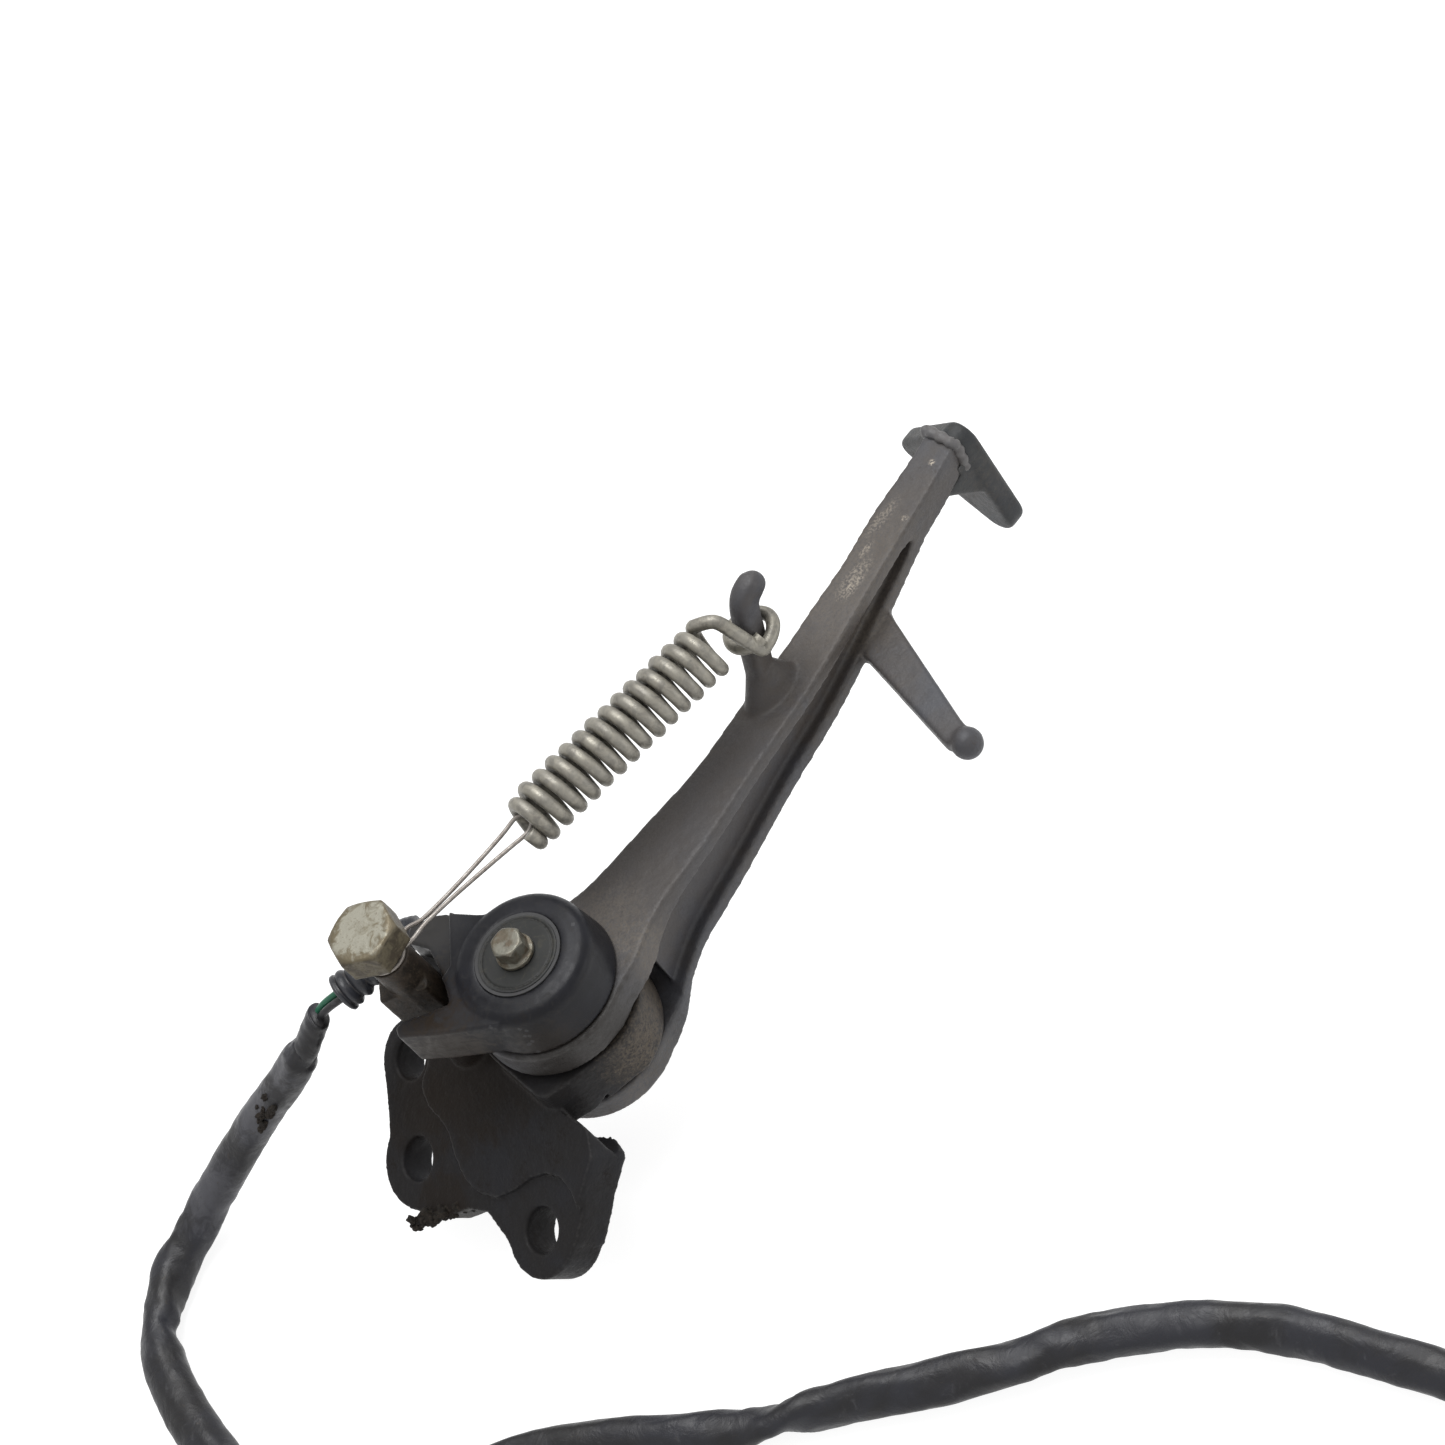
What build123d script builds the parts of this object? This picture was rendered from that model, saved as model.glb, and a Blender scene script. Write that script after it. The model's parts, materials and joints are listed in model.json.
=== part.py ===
from build123d import *
import math
import os

# Motorcycle side stand with return spring, cut-off switch and harness, in millimetres.
# Z is the pivot axis and points outboard, X runs along the stowed leg towards the
# foot, Y points to the spring side. The modelling origin is the middle of the
# bracket's pivot lug. Files are written with the origin moved to the lower mounting
# hole's centre on the mounting face.

# ---------------------------------------------------------------- pivot and clevis
LUG_TOP = 7.0             # outboard face of the bracket's pivot lug
LUG_BOT = -11.0           # inboard face of the pivot lug
LUG_R = 23.4
SEAL_T = 1.0              # dust seal on each side of the lug
EAR_GAP = 0.05            # running gap between dust seal and clevis ear
SLOT_TOP = LUG_TOP + SEAL_T + EAR_GAP
SLOT_BOT = LUG_BOT - SEAL_T - EAR_GAP
FRONT_FACE = 18.5         # outboard face of the leg
BACK_FACE = -21.0         # inboard face of the clevis
CLEVIS_R = 24.3           # clevis ear radius
CLEVIS_END = 26.5         # depth of the clevis slot from the pivot
SLOT_MOUTH_X = CLEVIS_END - 6
SLOT_FLOOR_X = CLEVIS_END - 1
SLOT_MARGIN = 0.9         # lug stays this far short of the slot's floor
TURN_GAP = 0.9            # radial room around the turning ears
SHANK_R = 6.0             # pivot bolt shank
RUN = 0.05                # radial running clearance
BUSH_R = 8.0
THREAD_R = 5.0            # pivot bolt thread
FLANGE_R = 8.6            # pivot bolt flange, also the dust seal bore
BOLT_HEAD_AF = 14.0
HEAD_TOP = FRONT_FACE + 5.5
WASHER_T = 1.8
NUT_FACE = BACK_FACE - 1.9
NUT_AF = 17.0
NUT_H = 9.0
STOW_TO_DEPLOY = 105.0    # leg travel in degrees

# ---------------------------------------------------------------- stand leg
LEG_TIP = 202.4           # distance from the pivot to the leg's cut end
# (x, y) of the leg's two long edges
UPPER_EDGE = [
    (20.0, 12.4), (26.0, 11.2), (35.2, 9.9), (52.0, 8.9), (78.0, 7.6), (96.4, 9.2),
    (120.4, 10.6), (137.8, 12.7), (151.4, 14.1), (169.7, 17.5), (186.2, 19.2), (204.0, 22.3),
]
LOWER_EDGE = [
    (18.0, -19.6), (24.0, -17.2), (38.0, -14.2), (56.0, -13.0), (77.2, -10.4),
    (93.2, -8.5), (109.3, -6.9), (120.0, -5.4), (137.8, -2.0), (155.7, 1.3),
    (173.9, 4.6), (189.3, 7.4), (204.0, 11.0),
]
# (x, z) of the leg's inboard face past the clevis
INBOARD_FACE = [
    (22, -18.2), (30, -14.2), (40, -11.0), (56, -8.2), (80, -5.2),
    (97, -3.0), (120, -1.0), (155, 2.4),
]
# (x, z) stretch shared by the two channels of the H section
CHANNEL_RUN = [
    (54, -3.6), (80, -0.4), (97, 1.8), (120, 3.9), (150, 6.8), (166, 9.2), (172, 11.8),
    (166, 13.4), (120, 13.5), (80, 13.4),
]
UPPER_CHANNEL = [(44, -5.2)] + CHANNEL_RUN + [(50, 13.2), (44, 11.0)]
LOWER_CHANNEL = (
    [(23.0, -11.9), (30, -10.2), (36, -8.2), (44, -5.6)]
    + CHANNEL_RUN
    + [(50, 13.0), (40, 11.6), (32, 9.8), (26, 7.9), (23.0, 7.9)]
)
NECK = [
    (0, CLEVIS_R - 0.2), (20, 13.2), (30, 10.3), (40, 9.4),
    (40, -13.8), (30, -16.0), (20, -20.0), (0, -CLEVIS_R + 0.2),
]
TANG = [
    (131.5, 6.0), (135.0, -2.6), (123.2, -45.6), (125.6, -51.0), (130.2, -50.6),
    (132.2, -44.2), (149.4, -2.8), (153.2, 5.0), (141.0, 9.0),
]
TANG_BOT, TANG_TOP = -1.2, 5.4
TANG_BALL = (127.3, -50.4, 2.4)
TANG_BALL_R = 4.9
# (x, y, z) centre line of the spring horn
HORN = [
    (104.0, 5.4, 12.0), (107.0, 5.9, 20.0), (110.2, 6.8, 28.0), (112.2, 7.4, 33.5),
    (115.6, 8.8, 42.0), (118.8, 9.9, 47.0), (123.6, 9.9, 48.8),
]
HORN_BALL_R = 3.9
DRIVE_AT = (0.0, 12.6)    # rotor drive pin's place in x, y
DRIVE_R = 2.0

FOOT_T = 7.4
FOOT_ROUND = 1.8
FOOT_CORNERS = [(15.2, 11.0, 6.2), (11.8, -20.4, 7.2), (38.6, -3.6, 4.8)]  # y, z, radius
RIB_Y = 13.6              # spring-side face of the rib
RIB_T = 4.6
RIB = [(189.0, 7.5), (LEG_TIP + 1.5, -8.0), (LEG_TIP + 1.5, 10.0), (192.0, 12.0)]  # x, z

# ---------------------------------------------------------------- bracket
PLATE_T = 14.0            # bracket thickness at the raised web
EAR_STEP = 2.0            # mounting ears sit this far below the raised web
HOLE_R = 6.5              # mounting holes, for M12 bolts
HOLE_CHAMFER = 0.7
SPOTFACE_R = HOLE_R + 3.6
# Mounting ears: x, y in the web plane, radius
EARS = [(-55.8, 57.7, 14.6), (-49.3, 0.3, 13.8), (-31.0, 75.0, 12.4)]
LOWER_EAR = EARS[1]
# Web plane: outer face of the raised web, tilted to the pivot axis.
MOUNT_N = Vector(-0.487, 0.074, 0.870).normalized()
MOUNT_X = (Vector(1, 0, 0) - MOUNT_N * MOUNT_N.X).normalized()
WEB_PLANE = Plane(origin=Vector(-11.2, -24.7, 7.0), x_dir=MOUNT_X, z_dir=MOUNT_N)
EAR_PLANE = WEB_PLANE.offset(-EAR_STEP)
BACK_PLANE = WEB_PLANE.offset(-PLATE_T)
# Outlines in the web plane's x, y. Both share the edge around the lug.
LUG_EDGE = [(-21.2, -10.3), (-9.4, -0.4), (4.0, -6.0), (24.0, 20.0), (16.0, 46.0), (-1.0, 66.0)]
PLATE = (
    [
        (-66.0, 66.0), (-70.2, 54.0), (-66.0, 39.5), (-58.5, 31.0), (-55.4, 23.0),
        (-57.8, 13.5), (-61.5, 5.0), (-53.0, -12.0), (-46.0, -14.0), (-37.8, -12.7),
        (-32.0, -11.3),
    ]
    + LUG_EDGE
    + [(-22.0, 84.0), (-36.0, 86.5), (-50.0, 76.0)]
)
WEB = (
    [
        (-36.0, 64.0), (-39.5, 58.0), (-39.8, 53.0), (-42.0, 47.0), (-46.5, 41.5),
        (-50.6, 34.0), (-51.2, 27.0), (-49.0, 19.5), (-43.6, 13.8), (-37.8, 9.6),
        (-33.9, 4.8), (-32.0, -1.4), (-33.4, -6.8), (-36.6, -12.0), (-31.9, -11.2),
    ]
    + LUG_EDGE
    + [(-18.0, 70.0)]
)
# Outlines in x, y square to the pivot axis
LUG_NECK = [
    (-2.0, LUG_R - 0.2), (-17.0, 20.0), (-24.5, 8.0), (-26.0, -14.0),
    (-22.0, -24.0), (-14.0, -25.0), (-6.0, -24.6), (-1.0, -LUG_R + 0.2),
]
LUG_SWELL_AT = (-1.2, -2.6)
NECK_SWEEP = [(0, 26), (40, 26), (40, -14.6), (30, -16.6), (20, -20.6), (8.0, -24.0)]
INBOARD_NOTCH = [(-17.5, -21.3), (-22.5, -37.5), (-8.0, -42.0), (0.0, -20.0)]
FAR_TRIM = [(24.0, 40), (24.0, -60), (60, -60), (60, 40)]

# ---------------------------------------------------------------- spring pin
PIN_STUD_R = 5.0
PIN_R = 6.6               # collar
PIN_NECK_R = 4.6
PIN_HEAD_AF = 19.0
PIN_HEAD_H = 9.6
PIN_BOSS_R = 9.2
PIN_SEAT_T = 3.0
PIN_DIR = Vector(-0.02, 0.0, 1.0).normalized()
PIN_NECK = Vector(-23.0, 26.1, 50.0)
PIN_SEAT_Z = 13.0
PIN_SEAT = PIN_NECK + PIN_DIR * ((PIN_SEAT_Z - PIN_NECK.Z) / PIN_DIR.Z)
SEAT_AT = -(PIN_SEAT - PIN_NECK).length   # seat's place along the pin from its neck
PIN_X = (1, 0.2, -0.15)
SEAT_PLANE = Plane(origin=PIN_SEAT, z_dir=PIN_DIR, x_dir=PIN_X)
NECK_PLANE = Plane(origin=PIN_NECK, z_dir=PIN_DIR, x_dir=PIN_X)
BLOCK_DIR = Vector(0.757, -0.654, 0)      # side of the square block and seat

# ---------------------------------------------------------------- return spring
SPRING_WIRE_R = 1.6
SPRING_MEAN_R = 7.4
SPRING_TURNS = 16.0
LINK_WIRE_R = 0.75
STRAND_R = LINK_WIRE_R - 0.03
HORN_NECK = Vector(114.2, 8.2, 38.5)
SPRING_DIR = (HORN_NECK - PIN_NECK).normalized()
SPRING_SIDE = SPRING_DIR.cross(Vector(0, 0, 1)).normalized()   # roughly -Y
COIL_START, COIL_END = 53.5, 126.5        # distances from the pin's neck
COIL_RISE = 6.6           # outboard shift of the coil's horn end
LINK_LOOP_AT = COIL_START - 4.6

# ---------------------------------------------------------------- switch
SWITCH_BASE = 18.8        # inboard face of the housing
SWITCH_TOP = 35.6         # outboard lip of the housing
BOSS_BASE_R = 22.8
BOSS_LIP_R = 20.3
ARM_TOP = 34.2
ROTOR_R = 12.1
ROTOR_TOP = 36.3
ROTOR_SEAL_R = 13.1
SWITCH_BOLT_R = 3.0
# Outlines in x, y
ARM = [
    (3.0, 22.0), (-0.6, 29.0), (-1.4, 34.0), (-4.0, 37.4), (-10.8, 41.6), (-14.8, 38.8),
    (-12.6, 31.0), (-18.6, 14.6), (-22.0, 8.9), (-32.9, 16.9), (-36.2, 18.6),
    (-38.0, 15.5), (-31.5, 6.2), (-19.4, -9.2), (-4.0, -16.0), (10.0, 10.0),
]
ARM_LEDGE = [
    (-16.0, 10.8), (-22.4, 11.6), (-21.4, 17.6), (-18.6, 19.6), (-15.6, 23.2),
    (-15.1, 27.0), (-16.2, 31.2), (-17.2, 35.0), (-14.4, 38.4), (-10.0, 34.0),
]
ARM_STEP = [(-1.8, 30.2), (-13.4, 17.6), (-18.0, 17.2), (-26.0, 50.0), (8.0, 50.0), (8.0, 36.0)]
DUCT_START = Vector(-5.5, 10.0, 22.8)
DUCT_END = Vector(-9.0, 46.0, 22.8)

# ---------------------------------------------------------------- harness
SLEEVE_R = 5.4
BOOT_R = 5.0
CUFF_R = 4.2
LINER_R = 2.9             # bore of boot and cuff
WIRE_R = 1.15
WIRE_OFFSET = 1.35        # wires lie this far to each side of the centre line
FLOOR_Z = -46.0           # harness centre line where it lies flat
# Centre lines in x, y, z
BOOT = [
    (-9.6, 44.0, 22.8), (-13.0, 47.2, 22.9), (-20.5, 49.2, 22.8),
    (-28.5, 50.2, 22.2), (-37.5, 53.2, 20.8),
]
CUFF = [(-44.2, 58.6, 16.4), (-48.6, 60.6, 12.2), (-53.6, 62.6, 7.2)]
DESCENT = [
    (-54.6, 63.0, 6.2), (-63.6, 68.9, -3.0), (-75.5, 77.0, -15.0),
    (-89.4, 84.7, -27.5), (-102.0, 89.8, -37.0), (-113.7, 91.6, -43.5),
]
# (x, y) of the flat stretch
FLAT_RUN = [
    (-125.5, 90.4), (-137.7, 84.0), (-147.2, 75.1), (-154.4, 60.3), (-158.9, 42.0),
    (-162.3, 20.0), (-160.0, -4.0), (-148.6, -25.6), (-126.5, -38.0), (-104.5, -49.5),
    (-87.0, -66.9), (-72.0, -85.3), (-59.6, -100.5), (-48.8, -110.0), (-35.1, -122.0),
    (-19.6, -137.5), (-4.2, -151.0), (8.0, -160.6), (18.7, -170.2), (31.9, -185.3),
    (42.0, -200.6), (48.7, -215.7), (53.6, -231.7), (58.4, -249.5), (62.6, -266.0),
]
HARNESS = DESCENT + [(x, y, FLOOR_Z) for x, y in FLAT_RUN]
HARNESS_END = Vector(*HARNESS[-1])
END_DIR = (HARNESS_END - Vector(*HARNESS[-2])).normalized()
CONNECTOR_PLANE = Plane(
    origin=HARNESS_END + END_DIR * 11.0, z_dir=END_DIR, x_dir=Vector(0, 0, 1).cross(END_DIR)
)
CONNECTOR_L = 20.0
TERMINAL_X = 2.6          # terminals' offset to each side


# ---------------------------------------------------------------- helpers
def poly(points, radius=0.0):
    face = make_face(Polyline(*points, close=True))
    if radius:
        face = fillet(face.vertices(), radius)
    return face


def slab(points, z0, z1, radius=0.0):
    """An x, y outline from z0 to z1."""
    return extrude(Pos(0, 0, z0) * poly(points, radius), amount=z1 - z0)


def cross_slab(points, radius=0.0, half_width=60):
    """An x, z outline spread both ways along Y."""
    return extrude(Plane.XZ * poly(points, radius), amount=half_width, both=True)


def cyl(radius, z0, z1, x=0.0, y=0.0):
    return Pos(x, y, (z0 + z1) / 2) * Cylinder(radius, z1 - z0)


def ring(outer, inner, z0, z1):
    return cyl(outer, z0, z1) - cyl(inner, z0 - 1, z1 + 1)


def wedge(half_width, z0):
    """A sector about Z that opens towards +X."""
    return slab([(0, 0), (30, half_width), (30, -half_width)], z0, z0 + 3)


def rod(start, end, radius):
    run = Vector(*end) - Vector(*start)
    return extrude(Plane(origin=start, z_dir=run.normalized()) * Circle(radius), amount=run.length)


def tube(path, radius, bore=0.0):
    plane = Plane(origin=path @ 0, z_dir=path % 0)
    body = sweep(plane * Circle(radius), path=path)
    if bore:
        body = body - sweep(plane * Circle(bore), path=path)
    return body


def hex_prism(across_flats, z0, z1):
    """A hexagon with its corners chamfered at z1."""
    hexagon = RegularPolygon(across_flats / 2, 6, major_radius=False)
    body = extrude(Pos(0, 0, z0) * hexagon, amount=z1 - z0)
    rim_r = across_flats * 0.62
    cone = revolve(
        Plane.XZ * poly([
            (0, z0), (rim_r, z0), (rim_r, z1 - across_flats * 0.09),
            (across_flats * 0.47, z1), (0, z1),
        ]),
        Axis.Z,
    )
    return body & cone


def largest(shape):
    """Drop any loose scraps a cut has left."""
    if len(shape.solids()) > 1:
        return shape.solids().sort_by(lambda solid: solid.volume)[-1]
    return shape


# ---------------------------------------------------------------- stand leg
def leg_outline(above=0.0, below=0.0):
    """The leg seen along Z, grown past its upper and lower edges."""
    upper = [(x, y + above) for x, y in UPPER_EDGE]
    lower = [(x, y - below) for x, y in LOWER_EDGE]
    return make_face([
        Spline(*upper), Spline(*lower), Line(upper[-1], lower[-1]), Line(upper[0], lower[0])
    ])


def side_slab():
    return cross_slab(
        [(-30, BACK_FACE), (13, BACK_FACE)]
        + INBOARD_FACE
        + [(175, 6.2), (LEG_TIP, 7.2), (LEG_TIP, FRONT_FACE - 0.4), (-30, FRONT_FACE)]
    )


def leg_blank():
    return extrude(leg_outline(), amount=60, both=True) & side_slab()


def edge_band(edge, depth, after_x, lead_in=0.0):
    """A band along a leg edge, from outside it to depth within; shallower by lead_in at first."""
    points = [p for p in edge if after_x < p[0] < 192]
    inner = [(x, y + depth - (lead_in if x < 30 else 0.0)) for x, y in points]
    outer = [(x, y + (6 if depth < 0 else -6)) for x, y in points]
    outline = [
        Spline(*inner), Polyline(*outer), Line(inner[0], outer[0]), Line(inner[-1], outer[-1])
    ]
    return extrude(make_face(outline), amount=60, both=True)


def clevis_slot():
    mouth, floor = SLOT_MOUTH_X, SLOT_FLOOR_X
    outline = [
        Line((-40, -40), (mouth, -40)),
        Line((mouth, -40), (floor, -12)),
        ThreePointArc((floor, -12), (CLEVIS_END + 0.6, 0), (floor, 12)),
        Line((floor, 12), (mouth, 40)),
        Line((mouth, 40), (-40, 40)),
        Line((-40, 40), (-40, -40)),
    ]
    return extrude(Pos(0, 0, SLOT_BOT) * make_face(outline), amount=SLOT_TOP - SLOT_BOT)


def spring_horn():
    path = Spline(*HORN)
    plane = Plane(origin=HORN[0], z_dir=path % 0, x_dir=(0.9, 0.2, -0.4))
    horn = sweep(plane * RectangleRounded(8.2, 7.2, 2.4), path=path)
    return horn + Pos(*HORN[-1]) * Sphere(HORN_BALL_R)


def stand_leg():
    tang = slab(TANG, TANG_BOT, TANG_TOP, 1.0)
    layers = tang.edges().group_by(Axis.Z)
    tang = fillet(layers[-1] + layers[0], 1.1)
    leg = leg_blank() + cyl(CLEVIS_R, BACK_FACE, FRONT_FACE) + tang
    leg += slab(NECK, BACK_FACE, FRONT_FACE) & side_slab()
    # Channels in both long sides leave an H section.
    leg -= edge_band(LOWER_EDGE, 4.4, 18, 0.6) & cross_slab(LOWER_CHANNEL, 0.3)
    leg -= edge_band(UPPER_EDGE, -3.6, 32) & cross_slab(UPPER_CHANNEL, 0.9)
    leg -= clevis_slot()
    leg -= cyl(SHANK_R + RUN, BACK_FACE - 1, FRONT_FACE + 1)
    leg -= cyl(DRIVE_R + 0.3, 11.5, FRONT_FACE + 1, *DRIVE_AT)
    leg += spring_horn()
    # Flared root of the horn
    leg += loft([Pos(107.4, 4.4, 16.5) * Ellipse(11.6, 5.9), Pos(109.2, 6.2, 26.0) * Ellipse(4.9, 4.2)])
    leg += Pos(*TANG_BALL) * Sphere(TANG_BALL_R)
    return leg


def rounded_triangle(discs):
    """Discs (x, y, radius) joined by tangent strips, with the middle filled."""
    outline = Sketch() + [Pos(x, y) * Circle(radius) for x, y, radius in discs]
    for (x0, y0, r0), (x1, y1, r1) in zip(discs, discs[1:] + discs[:1]):
        gap = Vector(x1 - x0, y1 - y0)
        along = gap.normalized()
        normal = Vector(-gap.Y, gap.X).normalized()
        lean = (r0 - r1) / gap.length
        near, far = [], []
        for side in (1, -1):
            offset = normal * (math.sqrt(1 - lean * lean) * side) + along * lean
            near.append(Vector(x0, y0) + offset * r0)
            far.append(Vector(x1, y1) + offset * r1)
        outline += poly([(p.X, p.Y) for p in (near[0], far[0], far[1], near[1])])
    outline += poly([(x, y) for x, y, _ in discs])
    return outline


def foot_plate():
    """Three-cornered sole plate square to X, with a rib, on the leg's tip."""
    plane = Plane(origin=(LEG_TIP, 0, 0), x_dir=(0, 1, 0), z_dir=(1, 0, 0))
    foot = extrude(plane * rounded_triangle(FOOT_CORNERS), amount=FOOT_T)
    faces = foot.faces().sort_by(Axis.X)
    foot = fillet(faces[0].edges() + faces[-1].edges(), FOOT_ROUND)
    rib = extrude(Plane.XZ.offset(-RIB_Y) * poly(RIB), amount=RIB_T)
    return largest((foot + rib) - leg_blank())


# ---------------------------------------------------------------- bracket
def leg_room():
    """Space the deployed leg needs, turned to its stop, less the clevis slot."""
    outline = extrude(leg_outline(above=40.0, below=0.35), amount=60, both=True)
    neck = extrude(poly(NECK_SWEEP), amount=60, both=True)
    mouth, floor = SLOT_MOUTH_X - SLOT_MARGIN, SLOT_FLOOR_X - SLOT_MARGIN
    slot = slab(
        [(-40, -40), (mouth, -40), (floor, -12), (floor, 12), (mouth, 40), (-40, 40)],
        LUG_BOT, LUG_TOP,
    )
    side = cross_slab(
        [(-30, BACK_FACE - 0.5), (13, BACK_FACE - 0.5)]
        + [(x, z - 0.6) for x, z in INBOARD_FACE]
        + [(210, 1.8), (210, 60.0), (-30, 60.0)],
        half_width=90,
    )
    return Rot(0, 0, -STOW_TO_DEPLOY) * (((outline + neck) & side) - slot)


def is_mounting_face(face):
    centre = face.center()
    facing = (face.normal_at(centre) + MOUNT_N).length < 0.01
    return facing and abs((centre - BACK_PLANE.origin).dot(MOUNT_N)) < 0.05


def side_stand_bracket():
    plate = poly(PLATE)
    plate += Sketch() + [Pos(x, y) * Circle(radius) for x, y, radius in EARS]
    body = extrude(EAR_PLANE * plate, amount=-(PLATE_T - EAR_STEP))
    body += extrude(EAR_PLANE * poly(WEB), amount=EAR_STEP)
    # Boss that carries the spring pin, leaning with it
    above_back = extrude(BACK_PLANE * Pos(-20, 50) * Rectangle(80, 80), amount=60)
    body += extrude(SEAT_PLANE * Circle(PIN_BOSS_R), amount=-34.0) & above_back

    # Room for the two clevis ears to turn, then the lug between them
    body -= cyl(CLEVIS_R + TURN_GAP, LUG_TOP, 60)
    body -= cyl(CLEVIS_R + TURN_GAP, -60, LUG_BOT)
    body += cyl(LUG_R, LUG_BOT, LUG_TOP)
    body += slab(LUG_NECK, LUG_BOT, LUG_TOP)
    # The lug swells towards its stop side.
    body += cyl(LUG_R, LUG_BOT, LUG_TOP, *LUG_SWELL_AT)

    body -= leg_room()
    body -= slab(INBOARD_NOTCH, -40, LUG_BOT)
    body -= extrude(poly(FAR_TRIM), amount=60, both=True)

    for x, y, _ in EARS:
        place = Pos(x, y)
        body -= extrude(WEB_PLANE * place * Circle(HOLE_R), amount=-(PLATE_T + 1))
        body -= loft([
            EAR_PLANE.offset(0.01) * place * Circle(HOLE_R + HOLE_CHAMFER),
            EAR_PLANE.offset(-HOLE_CHAMFER) * place * Circle(HOLE_R),
        ])
        body -= extrude(EAR_PLANE * place * Circle(SPOTFACE_R), amount=20)
    body -= cyl(BUSH_R, LUG_BOT - 1, LUG_TOP + 1)
    body -= extrude(SEAT_PLANE * Circle(PIN_STUD_R + 0.02), amount=-26.0)
    body = largest(body)

    # A shallow relief keeps the mounting face clear of the turning clevis ear.
    skin = extrude(BACK_PLANE * Pos(-10, 30) * Rectangle(200, 200), amount=1.2)
    body -= cyl(CLEVIS_R + 3.2, -60, LUG_BOT + 2.2) & skin
    # Nothing hangs over the mounting face, so a flat frame lug can lie on it.
    candidates = [f for f in body.faces().filter_by(GeomType.PLANE) if is_mounting_face(f)]
    seat = max(candidates, key=lambda face: face.area)
    body -= extrude(make_face(seat.outer_wire()), amount=30.0, dir=-MOUNT_N)
    return largest(body)


# ---------------------------------------------------------------- pivot
def pivot_bolt():
    bolt = cyl(SHANK_R, BACK_FACE + 0.3, FRONT_FACE)
    bolt += cyl(THREAD_R, BACK_FACE - 14.0, BACK_FACE + 0.3)
    flange = cyl(FLANGE_R, FRONT_FACE + 0.05, FRONT_FACE + 1.55)
    bolt += flange + cyl(SHANK_R, FRONT_FACE - 0.5, FRONT_FACE + 1.0)
    bolt += hex_prism(BOLT_HEAD_AF, FRONT_FACE + 1.5, HEAD_TOP)
    bolt -= cyl(SWITCH_BOLT_R + 0.02, 4.0, HEAD_TOP + 1)
    groove_pitch = 1.5
    for k in range(7):
        z = BACK_FACE - 13.0 + k * groove_pitch
        bolt -= Pos(0, 0, z) * Torus(THREAD_R + 0.15, 0.45)
    return bolt


def pivot_bush():
    return ring(BUSH_R - 0.01, SHANK_R + RUN, LUG_BOT, LUG_TOP)


def pivot_dust_seals():
    seals = [ring(19.0, FLANGE_R, z, z + SEAL_T).solid() for z in (LUG_TOP, LUG_BOT - SEAL_T)]
    return Compound(seals)


def pivot_washer():
    top = BACK_FACE - 0.05
    return ring(10.5, THREAD_R + 0.2, top - WASHER_T, top)


def pivot_locknut():
    end = NUT_FACE - NUT_H
    nut = Pos(0, 0, NUT_FACE) * Rot(180, 0, 0) * hex_prism(NUT_AF, 0, NUT_H)
    nut += cyl(6.9, end - 1.6, end + 0.5)
    return nut - cyl(THREAD_R + 0.01, BACK_FACE - 30, BACK_FACE)


# ---------------------------------------------------------------- switch
def switch_boss():
    shoulder = (BOSS_LIP_R + 0.9, 31.0)
    rounding = (BOSS_LIP_R - 0.3, 34.0)
    crown = (BOSS_LIP_R - 3.0, 35.2)
    lip = (ROTOR_SEAL_R + 1.9, SWITCH_TOP)
    outline = [
        Line((0, SWITCH_BASE), (BOSS_BASE_R, SWITCH_BASE)),
        Line((BOSS_BASE_R, SWITCH_BASE), shoulder),
        ThreePointArc(shoulder, rounding, crown),
        Line(crown, lip),
        Line(lip, (0, SWITCH_TOP)),
        Line((0, SWITCH_TOP), (0, SWITCH_BASE)),
    ]
    return revolve(Plane.XZ * make_face(outline), Axis.Z)


def switch_housing():
    arm = slab(ARM, SWITCH_BASE, ARM_TOP, 1.1)
    arm += slab(ARM_LEDGE, SWITCH_BASE, 22.4)
    arm -= slab(ARM_STEP, 30.4, 50.4)
    housing = arm + switch_boss()
    housing -= cyl(ROTOR_SEAL_R + 0.05, 20, 40)
    housing -= cyl(17.6, SWITCH_BASE - 1, 20.6)      # recess for the back cover
    housing -= cyl(16.2, SWITCH_BASE - 1, 29.6)      # contact chamber
    # Wire duct from the chamber out through the arm's +Y end
    duct_dir = (DUCT_END - DUCT_START).normalized()
    duct_plane = Plane(origin=DUCT_START, z_dir=duct_dir, x_dir=(0, 0, 1))
    housing -= extrude(duct_plane * RectangleRounded(5.4, 7.6, 1.0), amount=44)
    return largest(housing)


def switch_back_cover():
    return ring(17.5, 15.5, SWITCH_BASE + 0.1, 20.5)


def switch_rotor():
    base, neck_top = 19.3, 33.0
    rotor = cyl(ROTOR_R, neck_top, ROTOR_TOP) + cyl(11.0, base, neck_top) + cyl(15.2, base, 21.2)
    rotor -= cyl(9.3, SWITCH_BASE - 1, 26.0)         # room for the pivot bolt head
    rotor -= cyl(4.3, 18, 40)
    rotor -= cyl(DRIVE_R + 0.02, 19, 21.5, *DRIVE_AT)
    rotor -= Pos(0, 0, ROTOR_TOP) * Torus(10.9, 0.35)
    return rotor


def rotor_seal_ring():
    return ring(ROTOR_SEAL_R, ROTOR_R + 0.02, 33.4, 35.9)


def rotor_drive_pin():
    pin = cyl(DRIVE_R, 12.2, 21.3, *DRIVE_AT)
    return chamfer(pin.edges().group_by(Axis.Z)[0], 0.5)


def moving_contact():
    return ring(15.6, 11.2, 26.9, 27.7) - wedge(11, 26)


def contact_spring():
    path = Helix(pitch=1.5, height=4.3, radius=13.0)
    return Pos(0, 0, 21.65) * tube(path, 0.4)


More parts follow.
